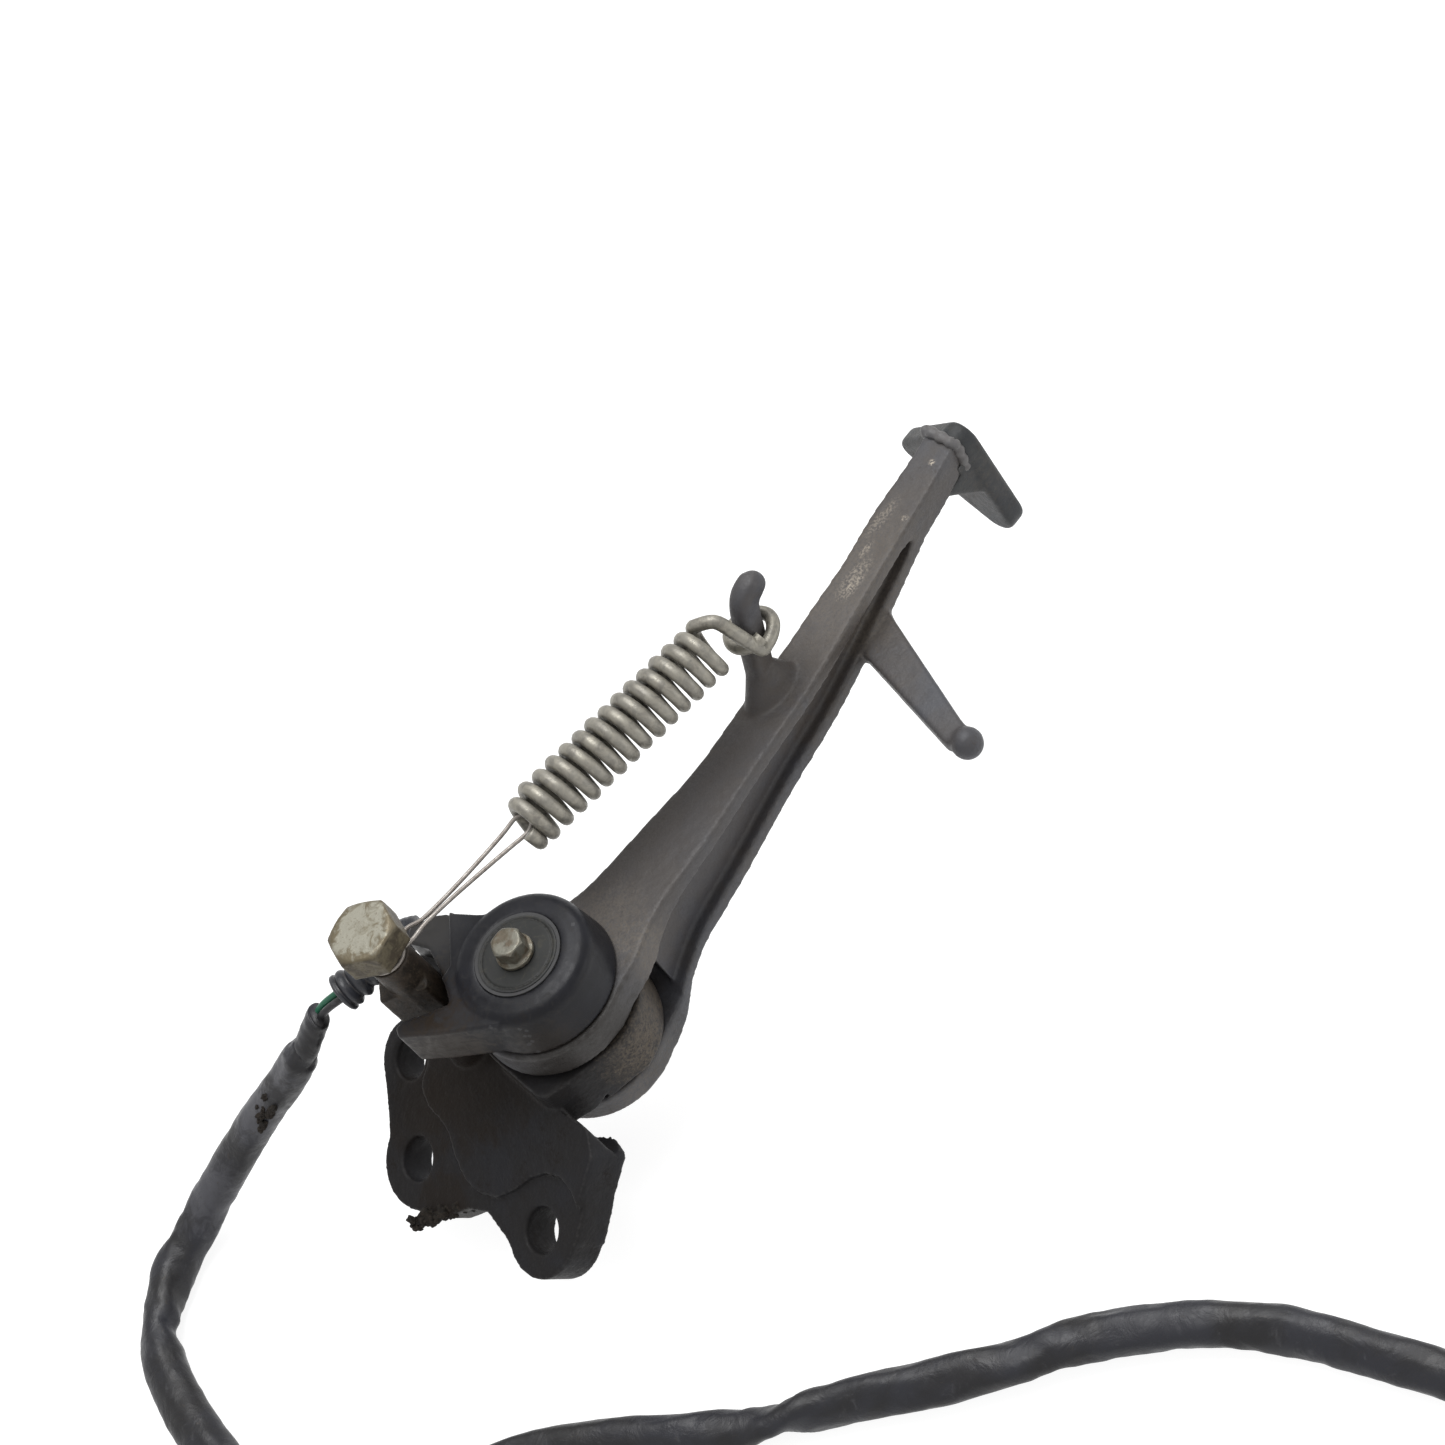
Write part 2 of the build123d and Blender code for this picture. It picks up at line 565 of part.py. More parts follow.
def fixed_contacts():
    contacts = []
    for angle in (200, 80):
        contact = ring(15.9, 11.8, 27.8, 28.6) & (Rot(0, 0, angle) * wedge(14, 27))
        contacts.append(contact.solid())
    return Compound(contacts)


def switch_spacer():
    return ring(4.2, SWITCH_BOLT_R + 0.05, HEAD_TOP + 0.02, ROTOR_TOP + 0.25)


def switch_bolt():
    bolt = cyl(SWITCH_BOLT_R, 8.0, ROTOR_TOP + 0.4)
    bolt += cyl(5.7, ROTOR_TOP + 0.3, ROTOR_TOP + 1.7)
    bolt += hex_prism(8.8, ROTOR_TOP + 1.6, ROTOR_TOP + 7.2)
    return bolt


# ---------------------------------------------------------------- spring pin
def pin_length(radius, start, end):
    """A round stretch of the pin, measured along it from its neck."""
    return extrude(NECK_PLANE.offset(start) * Circle(radius), amount=end - start)


def spring_pin_bolt():
    pin = pin_length(PIN_STUD_R, SEAT_AT - 24.0, SEAT_AT + 0.5)
    pin += pin_length(PIN_R, SEAT_AT + PIN_SEAT_T + 0.05, -2.6)
    pin += pin_length(PIN_NECK_R, -3.0, 3.0)
    pin += pin_length(PIN_HEAD_AF * 0.46, 2.4, 3.6)
    pin += NECK_PLANE.location * hex_prism(PIN_HEAD_AF, 3.4, 3.4 + PIN_HEAD_H)
    pin += pin_length(PIN_STUD_R, SEAT_AT, SEAT_AT + 3.4)
    # Square block that the switch housing's fork lies against
    block_x = BLOCK_DIR - PIN_DIR * BLOCK_DIR.dot(PIN_DIR)
    block_plane = Plane(origin=PIN_NECK, z_dir=PIN_DIR, x_dir=block_x).offset(-26.8)
    block = block_plane * Pos(-1.25, -2.25) * RectangleRounded(15.1, 8.5, 1.0)
    return pin + extrude(block, amount=13.0)


def spring_pin_seat():
    plane = Plane(origin=PIN_SEAT, z_dir=PIN_DIR, x_dir=BLOCK_DIR)
    seat = extrude(plane * RectangleRounded(13.6, 13.6, 1.6), amount=PIN_SEAT_T)
    return seat - pin_length(PIN_STUD_R + 0.08, SEAT_AT - 1, SEAT_AT + 4)


# ---------------------------------------------------------------- return spring
def spring_point(distance, sideways=0.0, rise=0.0):
    """A point by its distance from the pin's neck towards the horn."""
    up = SPRING_SIDE.cross(SPRING_DIR)
    return PIN_NECK + SPRING_DIR * distance + SPRING_SIDE * sideways + up * rise


def return_spring():
    start = spring_point(COIL_START)
    run = spring_point(COIL_END, rise=COIL_RISE) - start
    path = Helix(pitch=run.length / SPRING_TURNS, height=run.length, radius=SPRING_MEAN_R)
    plane = Plane(origin=start, z_dir=run.normalized(), x_dir=SPRING_SIDE)
    return plane.location * tube(path, SPRING_WIRE_R)


def spring_link_wire():
    """Two strands from the coil's lower end to an eye on the pin's neck."""
    eye_r = PIN_NECK_R + 0.9 + LINK_WIRE_R
    plane = Plane(origin=PIN_NECK, z_dir=PIN_DIR, x_dir=SPRING_DIR)
    link = plane.location * Torus(eye_r, LINK_WIRE_R)
    for side in (-1, 1):
        angle = math.radians(16 * side)
        across = plane.x_dir * (eye_r * math.cos(angle)) + plane.y_dir * (eye_r * math.sin(angle))
        # SPRING_SIDE points against the eye plane's y.
        link += rod(plane.origin + across, spring_point(LINK_LOOP_AT, -3.2 * side), STRAND_R)
    link += rod(spring_point(LINK_LOOP_AT, -3.9), spring_point(LINK_LOOP_AT, 3.9), STRAND_R)
    return link


# ---------------------------------------------------------------- harness
def harness_sleeve():
    """Straight runs with a ball at each bend."""
    sleeve = rod(HARNESS[0], HARNESS[1], SLEEVE_R)
    for bend, after in zip(HARNESS[1:-1], HARNESS[2:]):
        sleeve += Pos(*bend) * Sphere(SLEEVE_R)
        sleeve += rod(bend, after, SLEEVE_R)
    return sleeve


def strand(points, offset):
    """One wire beside a centre line, shifted level."""
    moved = []
    for i, point in enumerate(points):
        before = points[max(0, i - 1)]
        after = points[min(len(points) - 1, i + 1)]
        heading = (Vector(*after) - Vector(*before)).normalized()
        sideways = heading.cross(Vector(0, 0, 1)).normalized()
        moved.append(Vector(*point) + sideways * offset)
    return tube(Spline(*moved), WIRE_R)


def harness_wire(offset):
    """The wire shows from switch to sleeve, and again from sleeve to connector."""
    head = [(-8.0, 30.0, 22.8)] + BOOT + CUFF
    tail = [tuple(HARNESS_END + END_DIR * distance) for distance in (0.3, 5.0, 10.6)]
    return Compound([strand(points, offset).solid() for points in (head, tail)])


def connector_housing():
    plane = CONNECTOR_PLANE
    body = extrude(plane * RectangleRounded(14.0, 9.0, 1.4), amount=CONNECTOR_L)
    # Ridge on the outboard side, then the open socket
    body += extrude(plane * Pos(0, 5.2) * RectangleRounded(5.0, 3.0, 0.8), amount=14.0)
    body -= extrude(plane.offset(8.0) * RectangleRounded(11.0, 6.0, 0.8), amount=CONNECTOR_L)
    for x in (TERMINAL_X, -TERMINAL_X):
        body -= extrude(plane * Pos(x, 0) * Circle(1.5), amount=CONNECTOR_L)
    return body


def connector_terminals():
    terminals = []
    for x in (-TERMINAL_X, TERMINAL_X):
        barrel = extrude(CONNECTOR_PLANE.offset(1.0) * Pos(x, 0) * Circle(1.45), amount=5.0)
        blade = extrude(CONNECTOR_PLANE.offset(6.0) * Pos(x, 0) * Rectangle(2.0, 0.9), amount=9.0)
        terminals.append((barrel + blade).solid())
    return Compound(terminals)


# ---------------------------------------------------------------- export
PARTS = {
    "strain_relief_boot": tube(Spline(*BOOT), BOOT_R, LINER_R),
    "harness_cuff": tube(Spline(*CUFF), CUFF_R, LINER_R),
    "harness_wire_green": harness_wire(WIRE_OFFSET),
    "harness_wire_black": harness_wire(-WIRE_OFFSET),
}
for build in (
    stand_leg, foot_plate, side_stand_bracket,
    pivot_bolt, pivot_bush, pivot_dust_seals, pivot_washer, pivot_locknut,
    switch_housing, switch_back_cover, switch_rotor, rotor_seal_ring, rotor_drive_pin,
    moving_contact, contact_spring, fixed_contacts, switch_spacer, switch_bolt,
    spring_pin_bolt, spring_pin_seat, return_spring, spring_link_wire,
    harness_sleeve, connector_housing, connector_terminals,
):
    PARTS[build.__name__] = build()

origin = (
    BACK_PLANE.location.position
    + BACK_PLANE.x_dir * LOWER_EAR[0]
    + BACK_PLANE.y_dir * LOWER_EAR[1]
)
os.makedirs("parts", exist_ok=True)
for name, shape in PARTS.items():
    solids = list(shape.solids())
    piece = solids[0] if len(solids) == 1 else Compound(solids)
    export_step(Pos(-origin.X, -origin.Y, -origin.Z) * piece, f"parts/{name}.step")
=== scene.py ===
# A side stand with its bracket, pivot, return spring, stand switch and switch harness.
# Places are in millimetres from the pivot unless a comment says metres. The leg runs along +X
# to its foot plate near x = 205, the pivot pieces stand along Z, and the harness leaves the
# switch towards -X, +Y and comes round to run out towards +X, -Y.
import json
import math
from functools import cached_property

import bmesh
import bpy
import numpy as np
from mathutils import Matrix, Vector, noise


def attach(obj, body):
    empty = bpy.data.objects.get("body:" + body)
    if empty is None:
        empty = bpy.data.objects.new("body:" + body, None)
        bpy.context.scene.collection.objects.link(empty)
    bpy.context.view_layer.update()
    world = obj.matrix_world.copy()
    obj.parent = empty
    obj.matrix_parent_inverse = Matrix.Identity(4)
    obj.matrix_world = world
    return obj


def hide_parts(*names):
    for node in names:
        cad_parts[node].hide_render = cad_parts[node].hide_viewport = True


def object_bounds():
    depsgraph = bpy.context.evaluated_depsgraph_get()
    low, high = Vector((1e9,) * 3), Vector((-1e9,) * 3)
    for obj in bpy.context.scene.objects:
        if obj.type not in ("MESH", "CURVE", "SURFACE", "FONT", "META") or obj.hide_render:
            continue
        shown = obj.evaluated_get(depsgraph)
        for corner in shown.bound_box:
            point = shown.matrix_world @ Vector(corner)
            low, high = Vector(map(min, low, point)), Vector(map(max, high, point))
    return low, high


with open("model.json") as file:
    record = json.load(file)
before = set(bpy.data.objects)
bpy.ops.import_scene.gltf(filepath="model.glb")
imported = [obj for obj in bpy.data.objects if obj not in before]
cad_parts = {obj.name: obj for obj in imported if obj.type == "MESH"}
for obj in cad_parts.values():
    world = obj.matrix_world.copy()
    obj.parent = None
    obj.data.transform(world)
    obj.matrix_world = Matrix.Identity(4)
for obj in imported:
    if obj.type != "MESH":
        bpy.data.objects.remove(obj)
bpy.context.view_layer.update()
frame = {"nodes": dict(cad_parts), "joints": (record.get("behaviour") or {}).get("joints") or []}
nodes = frame["nodes"]
joints = {joint["name"]: joint for joint in frame["joints"]}
PIVOT = Vector(joints["stand_pivot"]["pos_m"])
SPRING_SWING = Vector(joints["spring_swing"]["pos_m"])


def at(x, y, z):
    """A point in millimetres from the pivot, as a point of the frame in metres."""
    return PIVOT + Vector((x, y, z)) * 0.001


# ---------------------------------------------------------------- shader helper
ROUND = (1, 1, 1)  # the stretch of a round spot


class Shader:
    """A material whose textures are laid out in millimetres."""

    def __init__(self, name):
        self.material = bpy.data.materials.new(name)
        self.material.use_nodes = True
        self.tree = self.material.node_tree
        self.tree.nodes.clear()
        output = self.add("OutputMaterial")
        self.surface = self.add("BsdfPrincipled")
        self.feed(self.surface.outputs[0], output.inputs["Surface"])
        scaled = self.vector_math("SCALE", self.add("TexCoord").outputs["Object"])
        scaled.inputs["Scale"].default_value = 1000.0  # metres to millimetres
        self.place = scaled.outputs[0]

    def add(self, kind):
        return self.tree.nodes.new("ShaderNode" + kind)

    def feed(self, value, socket):
        """Gives an input a link, a colour or a number."""
        if isinstance(value, bpy.types.NodeSocket):
            self.tree.links.new(value, socket)
        elif isinstance(value, tuple):
            socket.default_value = (*value, 1.0)
        else:
            socket.default_value = value

    @cached_property
    def pointiness(self):
        """Above 0.5 on edges, below it in hollows."""
        return self.add("NewGeometry").outputs["Pointiness"]

    def vector_math(self, operation, vector, other=None):
        node = self.add("VectorMath")
        node.operation = operation
        self.feed(vector, node.inputs[0])
        if other is not None:
            node.inputs[1].default_value = other
        return node

    def noise(self, scale, detail, rough, warp=0.0, offset=(0, 0, 0)):
        node = self.add("TexNoise")
        node.inputs["Scale"].default_value = scale
        node.inputs["Detail"].default_value = detail
        node.inputs["Roughness"].default_value = rough
        node.inputs["Distortion"].default_value = warp
        mapping = self.add("Mapping")
        mapping.inputs["Location"].default_value = offset
        self.feed(self.place, mapping.inputs["Vector"])
        self.feed(mapping.outputs[0], node.inputs["Vector"])
        return node.outputs["Fac"]

    def ramp(self, value, over, to=(0.0, 1.0)):
        """Eases from to[0] to to[1] while value crosses the range over."""
        node = self.add("MapRange")
        node.interpolation_type = "SMOOTHSTEP"
        names = ("From Min", "From Max", "To Min", "To Max")
        for name, number in zip(names, (*over, *to)):
            node.inputs[name].default_value = number
        self.feed(value, node.inputs["Value"])
        return node.outputs["Result"]

    def calc(self, operation, a, b, clamp=False):
        node = self.add("Math")
        node.operation = operation
        node.use_clamp = clamp
        self.feed(a, node.inputs[0])
        self.feed(b, node.inputs[1])
        return node.outputs[0]

    def times(self, a, b):
        return self.calc("MULTIPLY", a, b)

    def mix(self, factor, a, b):
        node = self.add("Mix")
        node.data_type = "RGBA"
        node.clamp_factor = True
        self.feed(factor, node.inputs["Factor"])
        self.feed(a, node.inputs[6])  # inputs 6 and 7 are the two colours
        self.feed(b, node.inputs[7])
        return node.outputs[2]

    def layer(self, below, color, mask, amount):
        """Lays a colour over another where the mask is high."""
        return self.mix(self.times(mask, amount), below, color)

    def spot(self, centre, radius, soft, breakup, stretch=ROUND):
        """1 near the centre, fading to 0 between soft * radius and radius, edge broken up."""
        away = self.vector_math("SUBTRACT", self.place, at(*centre) * 1000.0)
        scaled = self.vector_math("MULTIPLY", away.outputs[0], stretch)
        distance = self.vector_math("LENGTH", scaled.outputs[0]).outputs["Value"]
        ragged = self.times(self.calc("SUBTRACT", breakup, 0.5), radius * 1.6)
        distance = self.calc("ADD", distance, ragged)
        return self.ramp(distance, over=(radius * soft, radius), to=(1.0, 0.0))

    def hollows(self, end):
        """1 in deep hollows, fading to 0 where pointiness reaches end."""
        return self.ramp(self.pointiness, over=(0.40, end), to=(1.0, 0.0))

    def relief(self, *layers):
        """Stacks bumps, coarsest first. Each is (height, strength, distance in metres)."""
        normal = None
        for height, strength, distance in layers:
            node = self.add("Bump")
            node.inputs["Strength"].default_value = strength
            node.inputs["Distance"].default_value = distance
            self.feed(height, node.inputs["Height"])
            if normal is not None:
                self.feed(normal, node.inputs["Normal"])
            normal = node.outputs[0]
        return normal

    def done(self, color, rough, normal, metal=0.0, spec=0.5, coat=0.0, coat_rough=0.3):
        for name, value in (
            ("Base Color", color), ("Roughness", rough), ("Metallic", metal),
            ("Specular IOR Level", spec), ("Coat Weight", coat),
            ("Coat Roughness", coat_rough), ("Normal", normal),
        ):
            self.feed(value, self.surface.inputs[name])
        return self.material


# ---------------------------------------------------------------- kinds of material
def forged_paint(name, base=(0.021, 0.0205, 0.021), cool=(0.019, 0.021, 0.025),
                 brown=(0.036, 0.028, 0.022), tan=(0.125, 0.105, 0.082), brown_amount=0.5,
                 marks=(), tans=(), oily_and_shade=(), shade=(), edge=0.8, spec=0.38):
    """Worn satin paint on a forging: cool patches, rust film, bare edges with a painted highlight,
    dust and painted occlusion shade in hollows, cast grain.

    The spot lists hold (centre, radius, stretch, amount): marks and tans give scraped and tan
    patches, the third list gives oil stains, which are also painted shade where their brown is darker
    than the paint, and the fourth gives painted shadow.
    """
    m = Shader(name)
    big = m.noise(scale=0.035, detail=5, rough=0.6, warp=0.4)
    mid = m.noise(scale=0.14, detail=6, rough=0.62, warp=0.6, offset=(13, 4, 7))
    fine = m.noise(scale=1.1, detail=6, rough=0.65)
    speck = m.noise(scale=3.4, detail=3, rough=0.6, offset=(5, 5, 5))
    color = m.mix(m.ramp(big, over=(0.42, 0.62)), base, cool)
    rust = m.times(m.ramp(mid, over=(0.50, 0.72)), m.ramp(fine, over=(0.30, 0.75)))
    color = m.layer(color, brown, mask=rust, amount=brown_amount)
    chips = m.times(m.ramp(speck, over=(0.66, 0.74)), m.ramp(mid, over=(0.52, 0.66)))
    color = m.layer(color, (0.10, 0.094, 0.085), mask=chips, amount=0.32)
    # oil stains; where the brown is darker than the paint, as on the bracket, they are painted shade
    # too
    for centre, radius, stretch, amount in oily_and_shade:
        patch = m.spot(centre, radius, soft=0.35, breakup=mid, stretch=stretch)
        color = m.layer(color, brown, mask=patch, amount=amount)
    for centre, radius, stretch, amount in tans:
        ragged = m.noise(scale=0.5, detail=6, rough=0.7, warp=0.8, offset=centre)
        patch = m.spot(centre, radius, soft=0.25, breakup=ragged, stretch=stretch)
        patch = m.times(patch, m.ramp(fine, over=(0.30, 0.62)))
        color = m.layer(color, tan, mask=patch, amount=amount)
    # painted shadow spots
    for centre, radius, stretch, amount in shade:
        patch = m.spot(centre, radius, soft=0.45, breakup=mid, stretch=stretch)
        color = m.layer(color, (0.013, 0.0105, 0.0085), mask=patch, amount=amount)
    scraped = None
    for centre, radius, stretch, amount in marks:
        ragged = m.noise(scale=0.9, detail=7, rough=0.75, warp=1.2, offset=centre)
        patch = m.spot(centre, radius, soft=0.3, breakup=ragged, stretch=stretch)
        patch = m.times(m.times(patch, m.ramp(fine, over=(0.44, 0.60))), amount)
        color = m.mix(patch, color, (0.42, 0.37, 0.30))
        scraped = patch if scraped is None else m.calc("MAXIMUM", scraped, patch)
    patchy = m.noise(scale=0.5, detail=5, rough=0.6, offset=(3, 1, 2))
    # edges lighter: paint worn off, and a painted highlight along them
    wear_and_highlight = m.times(m.ramp(m.pointiness, over=(0.512, 0.56)), m.ramp(patchy, over=(0.30, 0.62)))
    color = m.layer(color, (0.105, 0.102, 0.098), mask=wear_and_highlight, amount=edge * 0.5)
    # dust, and painted occlusion shade, in the hollows
    color = m.layer(color, (0.030, 0.023, 0.017), mask=m.hollows(end=0.487), amount=0.45)
    rough = m.calc("ADD", m.ramp(fine, over=(0.2, 0.8), to=(0.40, 0.60)), m.times(rust, 0.22))
    if scraped is not None:
        rough = m.calc("ADD", rough, m.times(scraped, 0.2))
    cast = m.noise(scale=0.28, detail=5, rough=0.6)
    normal = m.relief((cast, 0.35, 0.0008), (fine, 0.32, 0.00022), (speck, 0.18, 0.00010))
    return m.done(color, rough, normal, spec=spec)


def steel(name, base, dark, rough, metal, rust=(0.10, 0.055, 0.028), rust_amount=0.5, cream=None):
    """Dirty plated or bare metal with rust film, grime and painted occlusion shade in its hollows,
    and a painted highlight on its edges.
    """
    m = Shader(name)
    broad = m.noise(scale=0.22, detail=6, rough=0.6, warp=0.5)
    fine = m.noise(scale=1.6, detail=6, rough=0.65, offset=(2, 9, 4))
    color = m.mix(m.ramp(broad, over=(0.38, 0.64)), base, dark)
    if cream:
        patchy = m.noise(scale=0.30, detail=6, rough=0.65, warp=0.8, offset=(7, 7, 1))
        color = m.layer(color, cream, mask=m.ramp(patchy, over=(0.42, 0.60)), amount=0.8)
    film = m.times(m.ramp(fine, over=(0.50, 0.68)), m.ramp(broad, over=(0.35, 0.65)))
    color = m.layer(color, rust, mask=film, amount=rust_amount)
    # grime and painted occlusion shade in the hollows
    color = m.layer(color, (0.035, 0.028, 0.02), mask=m.hollows(end=0.485), amount=0.8)
    # a lighter copy of the metal on edges: painted highlight
    edge_highlight = tuple(min(1, c * 1.7) for c in base)
    color = m.layer(color, edge_highlight, mask=m.ramp(m.pointiness, over=(0.515, 0.57)), amount=0.35)
    metallic = m.calc("SUBTRACT", metal, m.times(film, 0.5), clamp=True)
    normal = m.relief((broad, 0.25, 0.0004), (fine, 0.35, 0.00016))
    return m.done(color, m.ramp(fine, over=(0.25, 0.75), to=rough), normal, metal=metallic)


def plastic(name, base=(0.020, 0.021, 0.026), dust=(0.075, 0.066, 0.055), rough=(0.33, 0.52),
            dust_amount=0.5, stains=(), spec=0.3):
    """Moulded plastic with mould grain, haze and dust. A stain is (centre, radius, amount, tint)."""
    m = Shader(name)
    broad = m.noise(scale=0.07, detail=5, rough=0.55, warp=0.4)
    dusty = m.noise(scale=0.34, detail=7, rough=0.68, warp=0.7, offset=(1, 8, 3))
    fine = m.noise(scale=4.2, detail=4, rough=0.6)
    color = m.mix(m.ramp(broad, over=(0.40, 0.66)), base, tuple(c * 1.45 for c in base))
    color = m.layer(color, dust, mask=m.ramp(dusty, over=(0.50, 0.72)), amount=dust_amount)
    for centre, radius, amount, tint in stains:
        patch = m.spot(centre, radius, soft=0.3, breakup=dusty)
        color = m.layer(color, tint, mask=patch, amount=amount)
    color = m.layer(color, (0.055, 0.042, 0.03), mask=m.hollows(end=0.488), amount=0.6)
    # a light grey on edges: painted highlight
    edges = m.ramp(m.pointiness, over=(0.515, 0.56))
    color = m.layer(color, (0.10, 0.10, 0.105), mask=edges, amount=0.25)
    normal = m.relief((dusty, 0.15, 0.0003), (fine, 0.12, 0.00006))
    return m.done(color, m.ramp(dusty, over=(0.35, 0.7), to=rough), normal, spec=spec)


def sleeve_material():
    """Soft black tubing: faint creases, grey haze and a bluish sheen."""
    m = Shader("sleeve_soft_pvc")
    broad = m.noise(scale=0.045, detail=5, rough=0.55, warp=0.6)
    hazy = m.noise(scale=0.22, detail=7, rough=0.66, warp=0.9, offset=(4, 8, 2))
    fine = m.noise(scale=2.2, detail=4, rough=0.6)
    black, bluish = (0.0125, 0.012, 0.013), (0.018, 0.0185, 0.0235)
    color = m.mix(m.ramp(broad, over=(0.38, 0.64)), black, bluish)
    haze = m.ramp(hazy, over=(0.56, 0.76))
    color = m.layer(color, (0.075, 0.074, 0.080), mask=haze, amount=0.36)
    # pale patches: centre, radius
    for centre, radius in (((-78, 78.5, -12), 15), ((-104, 91, -36), 18), ((-64, 70, 3), 9)):
        patch = m.spot(centre, radius, soft=0.3, breakup=hazy)
        color = m.layer(color, (0.088, 0.088, 0.100), mask=patch, amount=0.5)
    dirty = m.noise(scale=0.6, detail=6, rough=0.7, warp=0.8, offset=(9, 9, 9))
    dirty = m.ramp(dirty, over=(0.60, 0.70))
    color = m.layer(color, (0.035, 0.027, 0.02), mask=dirty, amount=0.5)
    creased = m.noise(scale=0.10, detail=5, rough=0.6, warp=0.8)
    normal = m.relief((creased, 0.5, 0.0012), (fine, 0.10, 0.00008))
    rough = m.ramp(hazy, over=(0.3, 0.75), to=(0.34, 0.56))
    return m.done(color, rough, normal, spec=0.30, coat=0.04, coat_rough=0.35)


def dirt_material():
    m = Shader("caked_dirt")
    broad = m.noise(scale=0.6, detail=7, rough=0.7, warp=0.6)
    fine = m.noise(scale=3.0, detail=5, rough=0.7)
    dark, light = (0.010, 0.0085, 0.007), (0.030, 0.023, 0.017)
    color = m.mix(m.ramp(broad, over=(0.35, 0.68)), dark, light)
    normal = m.relief((broad, 0.6, 0.001), (fine, 0.8, 0.0006))
    return m.done(color, m.ramp(fine, over=(0.2, 0.8), to=(0.7, 0.95)), normal, spec=0.25)


def pin_material():
    """Dirty zinc: brown shaft, tan hexagon flats, and a cream +Z end face, dull at its rim."""
    m = Shader("pin_dirty_zinc")
    pivot_z = PIVOT.z * 1000.0
    separate = m.add("SeparateXYZ")
    m.feed(m.place, separate.inputs[0])
    z = separate.outputs[2]
    broad = m.noise(scale=0.26, detail=6, rough=0.62, warp=0.7, offset=(7, 7, 1))
    fine = m.noise(scale=1.3, detail=6, rough=0.65, offset=(2, 9, 4))

    def region(over, light, dark, fleck_over, fleck, amount):
        color = m.mix(m.ramp(broad, over=over), light, dark)
        return m.layer(color, fleck, mask=m.ramp(fine, over=fleck_over), amount=amount)

    shaft = region(over=(0.36, 0.62), light=(0.030, 0.021, 0.014), dark=(0.013, 0.0095, 0.0065),
                   fleck_over=(0.52, 0.70), fleck=(0.075, 0.058, 0.038), amount=0.55)
    flats = region(over=(0.40, 0.60), light=(0.095, 0.080, 0.050), dark=(0.045, 0.035, 0.022),
                   fleck_over=(0.50, 0.68), fleck=(0.045, 0.033, 0.020), amount=0.6)
    face = region(over=(0.46, 0.66), light=(0.255, 0.245, 0.20), dark=(0.150, 0.132, 0.090),
                  fleck_over=(0.54, 0.70), fleck=(0.10, 0.08, 0.05), amount=0.6)
    middle = m.spot((-23.2, 26.1, 63), 9.6, soft=0.62, breakup=broad, stretch=(1, 1, 0.3))
    face = m.mix(middle, (0.115, 0.095, 0.060), face)
    on_head = m.ramp(z, over=(pivot_z + 52.2, pivot_z + 54.6))
    on_face = m.ramp(z, over=(pivot_z + 61.9, pivot_z + 62.7))
    color = m.mix(on_face, m.mix(on_head, shaft, flats), face)
    # grime and painted occlusion shade in the hollows
    color = m.layer(color, (0.022, 0.016, 0.011), mask=m.hollows(end=0.485), amount=0.8)
    metal = m.calc("ADD", 0.15, m.times(on_face, 0.25))
    rough = m.ramp(fine, over=(0.25, 0.75), to=(0.44, 0.66))
    rough = m.calc("SUBTRACT", rough, m.times(on_face, 0.14))
    normal = m.relief((broad, 0.22, 0.0005), (fine, 0.30, 0.00015))
    return m.done(color, rough, normal, metal=metal, spec=0.35)


# ---------------------------------------------------------------- materials
# spots: centre, radius, stretch, amount
LEG_MARKS = [
    ((150, 7.2, 18.5), 7, (0.7, 2, 1), 0.34), ((147, 5.2, 18.5), 4.5, (0.7, 2, 1), 0.34),
    ((159.5, 10.6, 18.5), 3.2, (0.7, 2, 1), 0.34), ((171, 13.6, 18.5), 6, (0.6, 2.2, 1), 0.25),
    ((193.5, 12.4, 18.5), 1.5, ROUND, 0.9), ((173.8, 6.8, 18.5), 1.6, ROUND, 0.5),
]
LEG_TANS = [
    ((25, -3, 18.5), 17, (1, 1.2, 1), 0.35), ((25, -17, 12), 13, ROUND, 0.55),
    ((31, -24, -2), 13, ROUND, 0.35), ((150, 8, 18.5), 26, (0.7, 1, 1), 0.35),
    ((140, 4, 3), 14, ROUND, 0.3), ((202, 14, 12), 10, ROUND, 0.3),
    ((0, -20, -16), 20, ROUND, 0.45),
]
# painted shadow on the ear and the leg beside the pivot
LEG_SHADE = [((-8, -22, 12), 24, (0.8, 1, 1), 0.85), ((10, -22, -14), 18, ROUND, 0.35)]
LEG_OILY = [
    ((60, 2, 18.5), 42, (0.5, 1.3, 1), 0.45), ((104, 4, 18.5), 26, (0.7, 1, 1), 0.35),
    ((150, 6, 18), 36, (0.6, 1, 1), 0.6),
]
FOOT_TANS = [((207, 22, -4), 26, ROUND, 0.25)]
BRACKET_TANS = [((4, -22, -3), 17, ROUND, 0.95), ((20, -12, 0), 20, ROUND, 0.8)]
# oily brown that is darker than the paint: painted shade under the switch arm, with an oily tint
BRACKET_OIL_AND_SHADE = [
    ((-38, 22, -10), 24, ROUND, 0.75), ((-46, 36, -16), 22, ROUND, 0.6),
    ((-26, 10, -2), 26, ROUND, 0.8), ((-66, 12, -28), 16, ROUND, 0.8),
    ((-23, 24, 12), 13, ROUND, 0.6),
]
# centre, radius, amount, tint
HOUSING_STAINS = [
    ((-30, 8, 24), 20, 0.7, (0.024, 0.016, 0.009)), ((-24, 22, 28), 14, 0.75, (0.030, 0.022, 0.014)),
    ((-8, 36, 30), 16, 0.35, (0.045, 0.041, 0.035)), ((-12, -14, 22), 14, 0.5, (0.022, 0.016, 0.010)),
]

